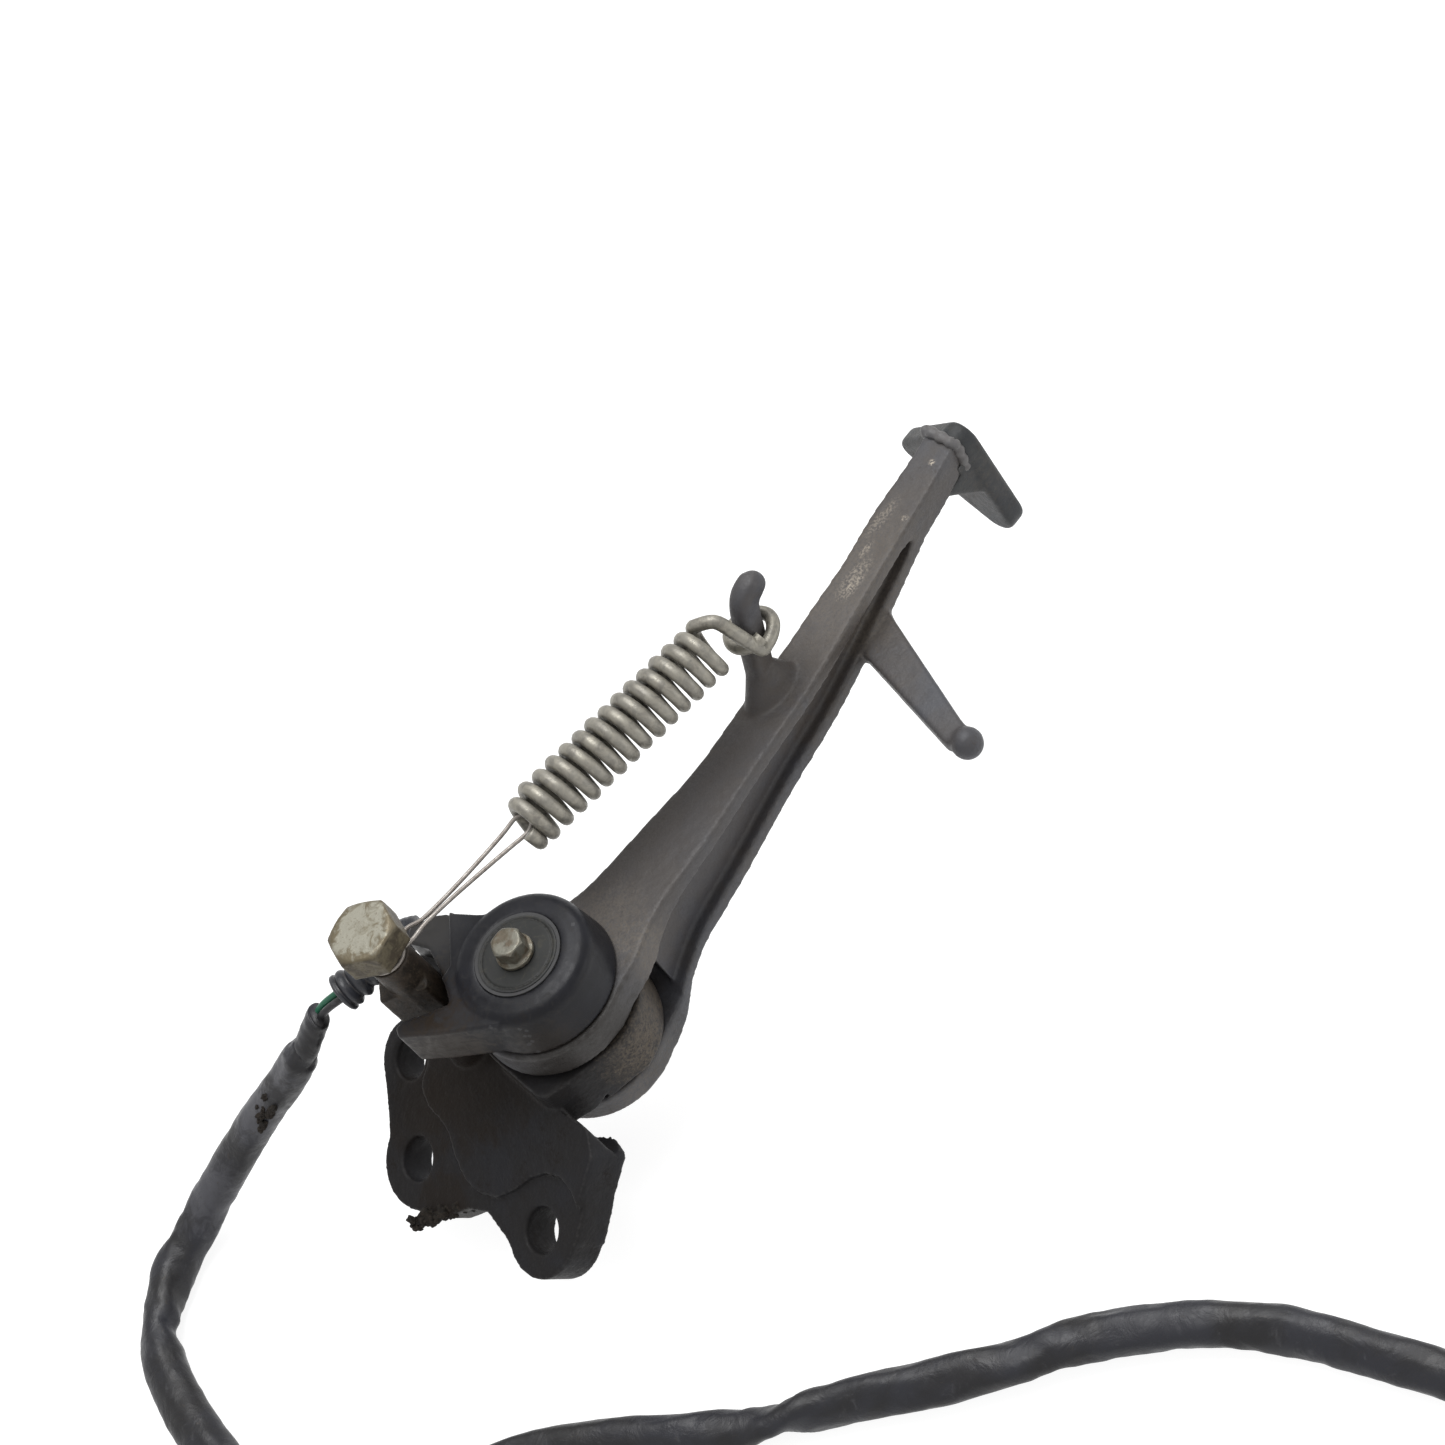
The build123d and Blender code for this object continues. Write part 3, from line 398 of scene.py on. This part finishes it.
leg_paint = forged_paint(
    "leg_worn_paint", base=(0.047, 0.044, 0.045), cool=(0.045, 0.046, 0.053),
    brown=(0.050, 0.041, 0.034), brown_amount=0.6, spec=0.35,
    marks=LEG_MARKS, tans=LEG_TANS, shade=LEG_SHADE, oily_and_shade=LEG_OILY)
foot_paint = forged_paint(
    "foot_worn_paint", base=(0.020, 0.022, 0.023), brown_amount=0.4, tans=FOOT_TANS, spec=0.28)
bracket_paint = forged_paint(
    "bracket_worn_paint", base=(0.0120, 0.0112, 0.0115), cool=(0.0130, 0.0130, 0.0150),
    brown=(0.0105, 0.0072, 0.0050), tan=(0.085, 0.070, 0.054), brown_amount=0.6, edge=0.45,
    spec=0.12, tans=BRACKET_TANS, oily_and_shade=BRACKET_OIL_AND_SHADE)
housing_plastic = plastic(
    "switch_moulded_plastic", base=(0.0070, 0.0072, 0.0094), dust=(0.028, 0.025, 0.022),
    dust_amount=0.30, spec=0.19, stains=HOUSING_STAINS)
rotor_plastic = plastic(
    "rotor_matt_plastic", base=(0.014, 0.0145, 0.014), dust=(0.046, 0.043, 0.034),
    rough=(0.42, 0.62), dust_amount=0.7, spec=0.22)
inner_plastic = plastic("inner_plastic", base=(0.03, 0.03, 0.03), dust_amount=0.2)
seal_rubber = plastic(
    "seal_rubber", base=(0.012, 0.012, 0.012), rough=(0.5, 0.75), dust_amount=0.15)
boot_rubber = plastic(
    "boot_rubber", base=(0.016, 0.017, 0.021), rough=(0.26, 0.5), dust_amount=0.35)
spring_steel = steel(
    "spring_dirty_steel", base=(0.20, 0.19, 0.165), dark=(0.105, 0.10, 0.088),
    rust_amount=0.35, rough=(0.36, 0.58), metal=0.55, cream=(0.25, 0.235, 0.195))
link_steel = steel(
    "link_wire_steel", base=(0.26, 0.24, 0.22), dark=(0.15, 0.13, 0.115),
    rough=(0.32, 0.5), metal=0.6)
bolt_rusty = steel(
    "switch_bolt_rusty", base=(0.145, 0.140, 0.115), dark=(0.075, 0.062, 0.042),
    rust=(0.085, 0.045, 0.02), rust_amount=0.7, rough=(0.26, 0.5), metal=0.55)
plain_steel = steel(
    "pivot_greasy_steel", base=(0.30, 0.28, 0.25), dark=(0.14, 0.12, 0.09),
    rough=(0.25, 0.5), metal=0.8)
zinc = steel(
    "nut_dull_zinc", base=(0.34, 0.33, 0.28), dark=(0.19, 0.175, 0.14),
    rough=(0.32, 0.55), metal=0.7)
bronze = steel(
    "bush_bronze", base=(0.36, 0.24, 0.12), dark=(0.20, 0.13, 0.07), rough=(0.3, 0.5), metal=0.9)
brass = steel(
    "contact_brass", base=(0.55, 0.42, 0.18), dark=(0.36, 0.26, 0.10),
    rust_amount=0.1, rough=(0.25, 0.42), metal=0.95)
wire_green = plastic(
    "wire_green_pvc", base=(0.010, 0.085, 0.045), dust=(0.06, 0.11, 0.08),
    rough=(0.28, 0.42), dust_amount=0.3)
wire_black = plastic(
    "wire_black_pvc", base=(0.012, 0.012, 0.013), rough=(0.28, 0.45), dust_amount=0.2)
conn_plastic = plastic(
    "connector_natural_plastic", base=(0.48, 0.46, 0.40), dust=(0.36, 0.32, 0.25),
    rough=(0.35, 0.5), dust_amount=0.4)
sleeve_pvc = sleeve_material()
dirt = dirt_material()
pin_zinc = pin_material()

NODE_MATERIALS = {
    "stand_leg": leg_paint, "foot_plate": foot_paint, "side_stand_bracket": bracket_paint,
    "pivot_bolt": plain_steel, "pivot_bush": bronze, "pivot_dust_seals": seal_rubber,
    "pivot_washer": zinc, "pivot_locknut": zinc, "switch_housing": housing_plastic,
    "switch_back_cover": inner_plastic, "switch_rotor": rotor_plastic,
    "rotor_seal_ring": seal_rubber, "rotor_drive_pin": plain_steel, "moving_contact": brass,
    "contact_spring": spring_steel, "fixed_contacts": brass, "switch_spacer": plain_steel,
    "switch_bolt": bolt_rusty, "spring_pin_bolt": pin_zinc, "spring_pin_seat": pin_zinc,
    "return_spring": spring_steel, "spring_link_wire": link_steel,
    "strain_relief_boot": boot_rubber, "harness_cuff": sleeve_pvc, "harness_sleeve": sleeve_pvc,
    "harness_wire_green": wire_green, "harness_wire_black": wire_black,
    "connector_housing": conn_plastic, "connector_terminals": brass,
}


def set_material(piece, material):
    piece.data.materials.clear()
    piece.data.materials.append(material)


for node_name, piece in nodes.items():
    set_material(piece, NODE_MATERIALS[node_name])

# ---------------------------------------------------------------- softened CAD pieces
WELD_DISTANCE = 2e-6  # metres
# node, voxel (m), smoothing rounds, smoothing factor, relief strength (m), relief grain (m)
SOFTENED = [
    ("stand_leg", 0.00062, 9, 0.5, 0.00012, 0.0035),
    ("foot_plate", 0.00055, 8, 0.5, 0.0001, 0.003),
    ("side_stand_bracket", 0.00058, 9, 0.5, 0.00016, 0.0035),
    ("switch_housing", 0.00042, 10, 0.5, 0.00004, 0.004),
    ("spring_pin_bolt", 0.00036, 7, 0.5, 0.00010, 0.0022),
    ("spring_pin_seat", 0.00036, 5, 0.5, 0.00012, 0.002),
    ("switch_bolt", 0.00026, 5, 0.5, 0.00006, 0.0015),
    ("switch_rotor", 0.00030, 2, 0.4, None, None),
    ("pivot_locknut", 0.00030, 3, 0.5, None, None),
]


def soften(name, voxel, rounds, factor, strength, grain):
    """Rounds a CAD piece's edges with modifiers, and may add a little surface relief."""
    modifiers = nodes[name].modifiers
    modifiers.new("weld", "WELD").merge_threshold = WELD_DISTANCE
    remesh = modifiers.new("remesh", "REMESH")
    remesh.mode = "VOXEL"
    remesh.voxel_size = voxel
    remesh.use_smooth_shade = True
    smooth = modifiers.new("smooth", "SMOOTH")
    smooth.factor = factor
    smooth.iterations = rounds
    if strength:
        texture = bpy.data.textures.new(name + "_relief", "CLOUDS")
        texture.noise_scale = grain
        texture.noise_depth = 3
        relief = modifiers.new("relief", "DISPLACE")
        relief.texture = texture
        relief.texture_coords = "LOCAL"
        relief.mid_level = 0.5
        relief.strength = strength


for row in SOFTENED:
    soften(*row)


# ---------------------------------------------------------------- geometry helpers
def smoothstep(f):
    return f * f * (3 - 2 * f)


def catmull(points, per):
    """A Catmull-Rom curve through the points, with per steps between neighbours."""
    pts = [Vector(p) for p in points]
    pts = [pts[0] * 2 - pts[1]] + pts + [pts[-1] * 2 - pts[-2]]
    curve = []
    for i in range(1, len(pts) - 2):
        p0, p1, p2, p3 = pts[i - 1:i + 3]
        for k in range(per):
            t = k / per
            curve.append(0.5 * (
                (2 * p1) + (p2 - p0) * t + (2 * p0 - 5 * p1 + 4 * p2 - p3) * t * t
                + (3 * p1 - p0 - 3 * p2 + p3) * t ** 3))
    curve.append(pts[-2])
    return curve


def noise_at(place, seed, scale=1.0):
    return noise.noise(Vector(place) * scale + Vector((seed, seed * 1.7, seed * 0.3)))


def new_object(name, mesh):
    made = bpy.data.objects.new(name, mesh)
    bpy.context.scene.collection.objects.link(made)
    return made


def add_piece(name, mesh, material, body):
    piece = new_object(name, mesh)
    for polygon in mesh.polygons:
        polygon.use_smooth = True
    set_material(piece, material)
    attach(piece, body)
    return piece


def sweep(name, path, section, segments, material, body, up=Vector((0, 0, 1))):
    """Sweeps a closed section along a path.

    section(index, share of the length, angle) gives (across, above) in millimetres.
    """
    count = len(path)
    run = [0.0]
    for a, b in zip(path, path[1:]):
        run.append(run[-1] + (b - a).length)
    verts = []
    side = None
    for i, p in enumerate(path):
        tangent = (path[min(i + 1, count - 1)] - path[max(i - 1, 0)]).normalized()
        if side is None:
            side = tangent.cross(up).normalized()
        else:
            side = (side - tangent * side.dot(tangent)).normalized()
        top = side.cross(tangent).normalized()
        for k in range(segments):
            across, above = section(i, run[i] / run[-1], 2 * math.pi * k / segments)
            verts.append(at(*(p + side * across + top * above)))
    faces = []
    for i in range(count - 1):
        for k in range(segments):
            a, b = i * segments + k, i * segments + (k + 1) % segments
            faces.append((a, a + segments, b + segments, b))
    faces.append(tuple(range(segments)))
    faces.append(tuple(reversed(range((count - 1) * segments, count * segments))))
    mesh = bpy.data.meshes.new(name)
    mesh.from_pydata([tuple(v) for v in verts], [], faces)
    mesh.validate()
    bm = bmesh.new()
    bm.from_mesh(mesh)
    bmesh.ops.recalc_face_normals(bm, faces=bm.faces[:])
    bm.to_mesh(mesh)
    bm.free()
    return add_piece(name, mesh, material, body)


def wire(radius):
    return lambda index, share, angle: (radius * math.cos(angle), radius * math.sin(angle))


# ---------------------------------------------------------------- return spring and its link
SPRING_START = (SPRING_SWING - PIVOT) * 1000.0
SPRING_AXIS = (Vector((114.2, 8.2, 38.5)) - SPRING_START).normalized()
SPRING_SIDE = SPRING_AXIS.cross(Vector((0, 0, 1))).normalized()
SPRING_UP = SPRING_SIDE.cross(SPRING_AXIS)

SPRING_WIRE_RADIUS = 2.1
COIL_RADIUS = 7.05
COIL_TURNS = 13.62
STEPS_PER_TURN = 30
END_TURNS = 1.12
END_RADIUS = 4.5
END_STEPS = 40
HOOK_FROM, HOOK_TO, HOOK_STEP = 80, 455, 15  # degrees
HOOK_RADIUS = 6.35
LINK_WIRE_RADIUS = 0.66
EYE_RADIUS = 5.55


def on_spring(along, side=0.0, up=0.0):
    return SPRING_START + SPRING_AXIS * along + SPRING_SIDE * side + SPRING_UP * up


def coil_path():
    start, end = on_spring(56.9, 0, 1.2), on_spring(126.5, 0, 6.2)
    length = (end - start).length
    axis = (end - start).normalized()
    across = axis.cross(SPRING_SIDE).normalized()

    def around(centre, radius, angle):
        return (centre + SPRING_SIDE * (radius * math.cos(angle))
                + across * (radius * math.sin(angle)))

    path = []
    # a smaller, offset end turn at the link
    for k in range(END_STEPS):
        f = k / END_STEPS
        grown = smoothstep(f)
        shift = SPRING_SIDE * (2.9 * (1 - grown)) + axis * (-4.9 * (1 - f))
        radius = END_RADIUS + (COIL_RADIUS - END_RADIUS) * grown
        path.append(around(start + shift, radius, -2 * math.pi * END_TURNS * (1 - f)))
    steps = int(COIL_TURNS * STEPS_PER_TURN)
    for k in range(steps + 1):
        angle = 2 * math.pi * COIL_TURNS * k / steps
        share = (k / steps) ** 0.97  # turns at the link end stand a little more open
        wobble = 0.12 * math.sin(angle * 0.37 + 1.3)
        path.append(around(start + axis * (length * share), COIL_RADIUS + wobble, angle))
    return path


def hook_points():
    """The lead off the last turn, then the hook's loop."""
    points = [on_spring(130.8, -0.4, 12.2), on_spring(133.2, 3.4, 7.6), on_spring(135.2, 5.6, 2.4)]
    for degrees in range(HOOK_FROM, HOOK_TO + 1, HOOK_STEP):
        angle = math.radians(degrees)
        f = (degrees - HOOK_FROM) / (HOOK_TO - HOOK_FROM)
        radius = HOOK_RADIUS - 0.3 * f
        stretch = 1.0 + 0.18 * max(0.0, -math.cos(angle))
        points.append(on_spring(
            138.6 - radius * math.cos(angle) * stretch, radius * math.sin(angle),
            -2.6 + 3.7 * f - 0.9 * math.cos(angle)))
    return points


def build_spring():
    coil = coil_path()
    # the curve's first step repeats the coil's last one
    hook = catmull(coil[-2:] + hook_points(), 5)[6:]
    spring = sweep("return_spring_hooked", coil + hook, wire(SPRING_WIRE_RADIUS), 14,
                   spring_steel, "spring")
    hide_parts("return_spring")


# two strands, out to the coil and back: along, side, up
LINK_STRANDS = [
    (9.0, -2.3, -2.0), (14.0, -1.05, -1.8), (20.0, -0.85, -1.3), (28.0, -1.15, -0.7),
    (38.0, -1.8, 0.2), (47.0, -2.5, 1.2), (52.6, -2.6, 2.6), (55.2, -0.6, 3.1),
    (55.0, 1.6, 1.7), (52.2, 2.4, 0.3), (46.0, 2.0, -0.1), (38.0, 1.5, -0.5),
    (28.0, 1.0, -1.0), (20.0, 0.75, -1.5), (14.0, 0.95, -1.8), (9.0, 2.0, -2.0),
    (5.3, 2.2, -2.0),
]


def build_link():
    points = []
    for degrees in range(336, 23, -12):
        angle = math.radians(degrees)
        points.append(on_spring(EYE_RADIUS * math.cos(angle), EYE_RADIUS * math.sin(angle),
                                -2.0 + 0.1 * math.sin(angle * 2)))
    points += [on_spring(*p) for p in LINK_STRANDS]
    link = sweep("spring_link_two_strand", catmull(points, 6), wire(LINK_WIRE_RADIUS), 10,
                 link_steel, "spring")
    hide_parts("spring_link_wire")


build_spring()
build_link()

# ---------------------------------------------------------------- strain relief boot
BOOT = [(-9.6, 44.0, 22.8), (-13.0, 47.2, 22.9), (-20.5, 49.2, 22.8), (-28.5, 50.2, 22.2),
        (-37.5, 53.2, 20.8)]
BOOT_RIBS = 8.0


def boot_section(index, share, angle):
    rib = (0.5 + 0.5 * math.cos(2 * math.pi * share * BOOT_RIBS)) ** 0.5
    radius = 5.0 + 1.3 * share
    if 0.22 < share < 0.93:
        radius -= 1.5 * (1 - rib)
    if share < 0.2:
        radius = 5.1
    if share > 0.96:  # rounded end
        radius *= math.sqrt(max(0.15, 1 - ((share - 0.96) / 0.045) ** 2))
    radius += 0.12 * noise_at((share * 30, math.cos(angle), math.sin(angle)), seed=0.0, scale=1.1)
    return radius * math.cos(angle) * 1.02, radius * math.sin(angle) * 0.92


boot = sweep("ribbed_boot", catmull(BOOT, 26), boot_section, 32, boot_rubber, "bracket")
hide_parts("strain_relief_boot")

# ---------------------------------------------------------------- harness cuff and sleeve
CUFF = [(-45.2, 59.2, 15.4), (-46.4, 59.8, 14.3), (-49.4, 61.0, 11.4), (-53.6, 62.6, 7.2),
        (-58.0, 65.3, 2.6)]


def cuff_section(index, share, angle):
    c, s = math.cos(angle), math.sin(angle)
    radius = 4.15 + 0.25 * noise_at((share * 9, c * 1.2, s * 1.2), seed=3.0, scale=0.9)
    radius += 0.35 * share
    if share < 0.03:
        radius *= 0.86
    if share < 0.06:  # uneven lip
        radius += 0.55 * max(0.0, math.cos(angle * 2 + 1.0))
    return radius * c * 1.12, radius * s * 0.82


cuff = sweep("harness_cuff_tube", catmull(CUFF, 14), cuff_section, 26, sleeve_pvc, "bracket")
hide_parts("harness_cuff")

SLEEVE_FALL = [
    (-54.2, 62.8, 6.6), (-63.6, 68.9, -3.0), (-76.5, 78.0, -15.0), (-90.6, 86.0, -27.5),
    (-103.2, 91.3, -37.0), (-115.0, 93.3, -43.5),
]
SLEEVE_LEVEL = -46.0
# x, y of the run at that level
SLEEVE_RUN = [
    (-127.0, 92.2), (-139.3, 85.6), (-149.2, 76.1), (-156.4, 60.6), (-160.6, 42.0),
    (-162.3, 20.0), (-160.0, -4.0), (-148.6, -25.6), (-126.5, -38.0), (-105.5, -50.6),
    (-88.4, -68.2), (-73.4, -86.6), (-60.8, -101.4), (-49.8, -111.2), (-36.2, -123.2),
    (-20.7, -138.6), (-5.3, -152.1), (7.0, -161.6), (17.6, -171.2), (30.7, -186.1),
    (40.7, -201.1), (47.4, -216.0), (52.3, -231.9), (57.3, -249.5), (62.0, -265.8),
]
SLEEVE_STEPS = 14  # between neighbouring points; a station counts points along the path
# station, half width, half thickness, twist in degrees
SLEEVE_SHAPE = [
    (0.0, 4.6, 4.2, 0), (0.5, 5.8, 5.2, 0), (2.0, 6.2, 5.0, 15), (4.0, 6.4, 5.3, 25),
    (5.5, 6.6, 5.7, 40), (6.4, 6.8, 6.0, 60), (7.0, 6.3, 5.6, 100), (7.6, 6.3, 5.8, 140),
    (8.4, 7.0, 6.4, 165), (10.0, 7.1, 6.3, 180), (11.0, 6.6, 5.8, 190), (15.0, 6.4, 4.9, 180),
    (17.0, 6.3, 4.8, 175), (18.0, 5.6, 4.2, 200), (18.5, 5.7, 3.8, 240), (19.5, 6.3, 4.6, 330),
    (21.5, 6.5, 4.5, 360), (22.3, 6.0, 4.4, 380), (24.0, 6.4, 4.6, 372), (27.0, 6.3, 4.4, 350),
    (30.0, 6.2, 4.6, 360),
]
# depth, station, sway, phase of the sway, width, phase of the creased side
CREASES = [
    (1.5, 7.3, 0.55, 0.6, 0.22, 0.2), (1.3, 18.25, 0.4, 0, 0.2, math.pi / 2 - 0.5),
    (0.8, 22.4, 0.5, 1, 0.25, 0), (0.7, 5.0, 0.9, 2, 0.2, math.pi / 2),
]


def sleeve_shape(station):
    for (x0, *before), (x1, *after) in zip(SLEEVE_SHAPE, SLEEVE_SHAPE[1:]):
        if station <= x1:
            f = smoothstep((station - x0) / (x1 - x0))
            return [p + (q - p) * f for p, q in zip(before, after)]


def sleeve_section(index, share, angle):
    x = index / SLEEVE_STEPS
    half_width, half_thickness, twist = sleeve_shape(x)
    twist = math.radians(twist)
    c, s = math.cos(angle), math.sin(angle)
    dent = 0.55 * noise_at((x * 1.5, c * 1.3, s * 1.3), seed=11.0)
    dent += 0.22 * noise_at((x * 4.5, c * 2.0, s * 2.0), seed=5.0)
    for depth, station, sway, sway_phase, width, side_phase in CREASES:
        off = (x - station - sway * math.sin(angle + sway_phase)) / width
        dent -= depth * math.exp(-off ** 2) * max(0.0, math.sin(angle + side_phase))
    scale = 1.0 + dent / 6.0
    if x < 0.35:
        scale *= 0.93 + 0.10 * noise_at((c * 3, s * 3, 0), seed=2.0)
    if index == 0:
        scale *= 0.86
    across = half_width * math.copysign(abs(c) ** 0.86, c) * scale
    above = half_thickness * math.copysign(abs(s) ** 0.94, s) * scale
    return (across * math.cos(twist) - above * math.sin(twist),
            across * math.sin(twist) + above * math.cos(twist))


sleeve_path = catmull(SLEEVE_FALL + [(x, y, SLEEVE_LEVEL) for x, y in SLEEVE_RUN], SLEEVE_STEPS)
sleeve = sweep("harness_sleeve_soft", sleeve_path, sleeve_section, 36, sleeve_pvc, "bracket")
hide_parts("harness_sleeve")

# ---------------------------------------------------------------- caked dirt
rng = np.random.default_rng(7)


def cake(name, lumps, seed):
    """Displaced balls in one mesh. A lump is (centre, radius, flattening)."""
    bm = bmesh.new()
    for j, (centre, radius, flat) in enumerate(lumps):
        ball = bmesh.ops.create_icosphere(bm, subdivisions=3, radius=1.0)
        for v in ball["verts"]:
            d = v.co.copy()
            q = d * 1.6 + Vector((seed + j * 3.1, j * 1.3, 0))
            swell = 1.0 + 0.55 * noise.noise(q) + 0.35 * noise.noise(q * 2.7)
            v.co = at(*(c + u * radius * swell * f for c, u, f in zip(centre, d, flat)))
    mesh = bpy.data.meshes.new(name)
    bm.to_mesh(mesh)
    bm.free()
    add_piece(name, mesh, dirt, "bracket")


def edge_lumps(count=20):
    """Lumps strung along the bracket's edge."""
    lumps = []
    for k in range(count):
        f = k / (count - 1)
        centre = (-73.9 + 15.0 * f + rng.uniform(-1, 1),
                  17.6 - 12.2 * f + rng.uniform(-1.2, 1.2),
                  -29.2 + rng.uniform(-1.6, 1.6))
        lumps.append((centre, rng.uniform(1.1, 2.2), (1, 1, 0.9)))
    return lumps


def sleeve_lumps(count=16):
    """Lumps scattered over a slanting patch of the sleeve."""
    middle, along, across = (-76.3, 72.7, -8.7), (-0.65, 0.46, -0.60), (0.5, 0.62, 0.58)
    lumps = []
    for _ in range(count):
        g, h = rng.uniform(-5.0, 5.0), rng.uniform(-3.2, 3.2)
        centre = tuple(m + a * g + b * h for m, a, b in zip(middle, along, across))
        lumps.append((centre, rng.uniform(0.8, 1.6), (1, 0.8, 0.7)))
    return lumps


cake("bracket_edge_dirt", edge_lumps(), 3.0)
cake("sleeve_dirt", sleeve_lumps(), 9.0)

# ---------------------------------------------------------------- weld bead
# the bead that joins the leg's end to the foot plate
WELD_X = 201.9
# y, z round the leg's end
WELD_RING = [
    (11.4, 6.6), (16.5, 6.5), (21.2, 6.9), (22.4, 8.4), (22.6, 12.5), (22.3, 17.0), (21.2, 18.3),
    (16.5, 18.5), (11.6, 18.2), (10.5, 16.8), (10.3, 12.5), (10.4, 8.0), (11.4, 6.6),
]


def weld_section(index, share, angle):
    c, s = math.cos(angle), math.sin(angle)
    radius = 1.75 + 0.22 * math.sin(index * 1.15) + 0.25 * noise_at((index * 0.16, c, s), seed=4.0)
    return radius * c, radius * s


weld_paint = forged_paint(
    "weld_worn_paint", base=(0.088, 0.081, 0.079), cool=(0.075, 0.074, 0.078),
    brown=(0.045, 0.034, 0.026), brown_amount=0.4)
weld_path = catmull([(WELD_X + 0.25 * math.sin(y * 2.1 + z), y, z) for y, z in WELD_RING], 7)
sweep("foot_weld_bead", weld_path, weld_section, 14, weld_paint, "leg",
      up=Vector((1, 0, 0)))

# ---------------------------------------------------------------- floor and world, in metres
FLOOR_HALF = 6.0
FLOOR_GAP = 0.0006


def floor_material():
    """White that glows a little and still takes soft shadows."""
    material = bpy.data.materials.new("floor_white")
    material.use_nodes = True
    tree = material.node_tree
    tree.nodes.clear()
    output = tree.nodes.new("ShaderNodeOutputMaterial")
    glow = tree.nodes.new("ShaderNodeEmission")
    glow.inputs["Color"].default_value = (1.0, 1.0, 1.0, 1.0)
    glow.inputs["Strength"].default_value = 0.86
    diffuse = tree.nodes.new("ShaderNodeBsdfDiffuse")
    diffuse.inputs["Color"].default_value = (0.30, 0.30, 0.30, 1.0)
    both = tree.nodes.new("ShaderNodeAddShader")
    tree.links.new(glow.outputs[0], both.inputs[0])
    tree.links.new(diffuse.outputs[0], both.inputs[1])
    tree.links.new(both.outputs[0], output.inputs["Surface"])
    return material


floor_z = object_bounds()[0].z - FLOOR_GAP
floor_mesh = bpy.data.meshes.new("studio_floor")
corners = [(FLOOR_HALF * x, FLOOR_HALF * y, floor_z) for x, y in ((-1, -1), (1, -1), (1, 1), (-1, 1))]
floor_mesh.from_pydata(corners, [], [(0, 1, 2, 3)])
floor = new_object("studio_floor", floor_mesh)
floor_mesh.materials.append(floor_material())

world = bpy.data.worlds.new("pale_studio")
bpy.context.scene.world = world
world.use_nodes = True
background = world.node_tree.nodes["Background"]
background.inputs["Color"].default_value = (1.0, 1.0, 1.0, 1.0)
background.inputs["Strength"].default_value = 0.75

# ---------------------------------------------------------------- lights and camera, in metres
# the camera's own directions
RIGHT = Vector((0.62531239, -0.6794443, -0.38384875))
UP = Vector((0.75448047, 0.40071461, 0.51979518))
AHEAD = Vector((0.19935807, 0.61464075, -0.76319926))
AIM = at(60, 0, 0)


def area(name, place, size, power):
    """A rectangular light turned to the aim point."""
    light = bpy.data.lights.new(name, "AREA")
    light.shape = "RECTANGLE"
    light.size, light.size_y = size
    light.energy = power
    lamp = new_object(name, light)
    lamp.location = place
    lamp.rotation_mode = "QUATERNION"
    lamp.rotation_quaternion = (AIM - place).to_track_quat("-Z", "Y")


area("key_soft", AIM + UP * 1.0 - RIGHT * 0.55 - AHEAD * 0.9, size=(0.9, 0.7), power=16.0)
area("fill_right", AIM + RIGHT * 1.3 - AHEAD * 0.5 + UP * 0.1, size=(0.8, 0.8), power=5.0)
area("top_back", AIM + UP * 1.1 + AHEAD * 0.3 + Vector((0, 0, 0.9)), size=(1.0, 0.5), power=7.0)

camera = new_object("camera", bpy.data.cameras.new("camera"))
camera.data.sensor_width = 36.0
camera.data.lens = 74.740484
camera.data.clip_start = 0.01
camera.data.clip_end = 50.0
pose = Matrix((RIGHT, UP, -AHEAD)).transposed().to_4x4()
pose.translation = (-0.034512, -0.497811, 0.712653)
camera.matrix_world = pose
bpy.context.scene.camera = camera
bpy.context.scene.view_settings.view_transform = "Standard"
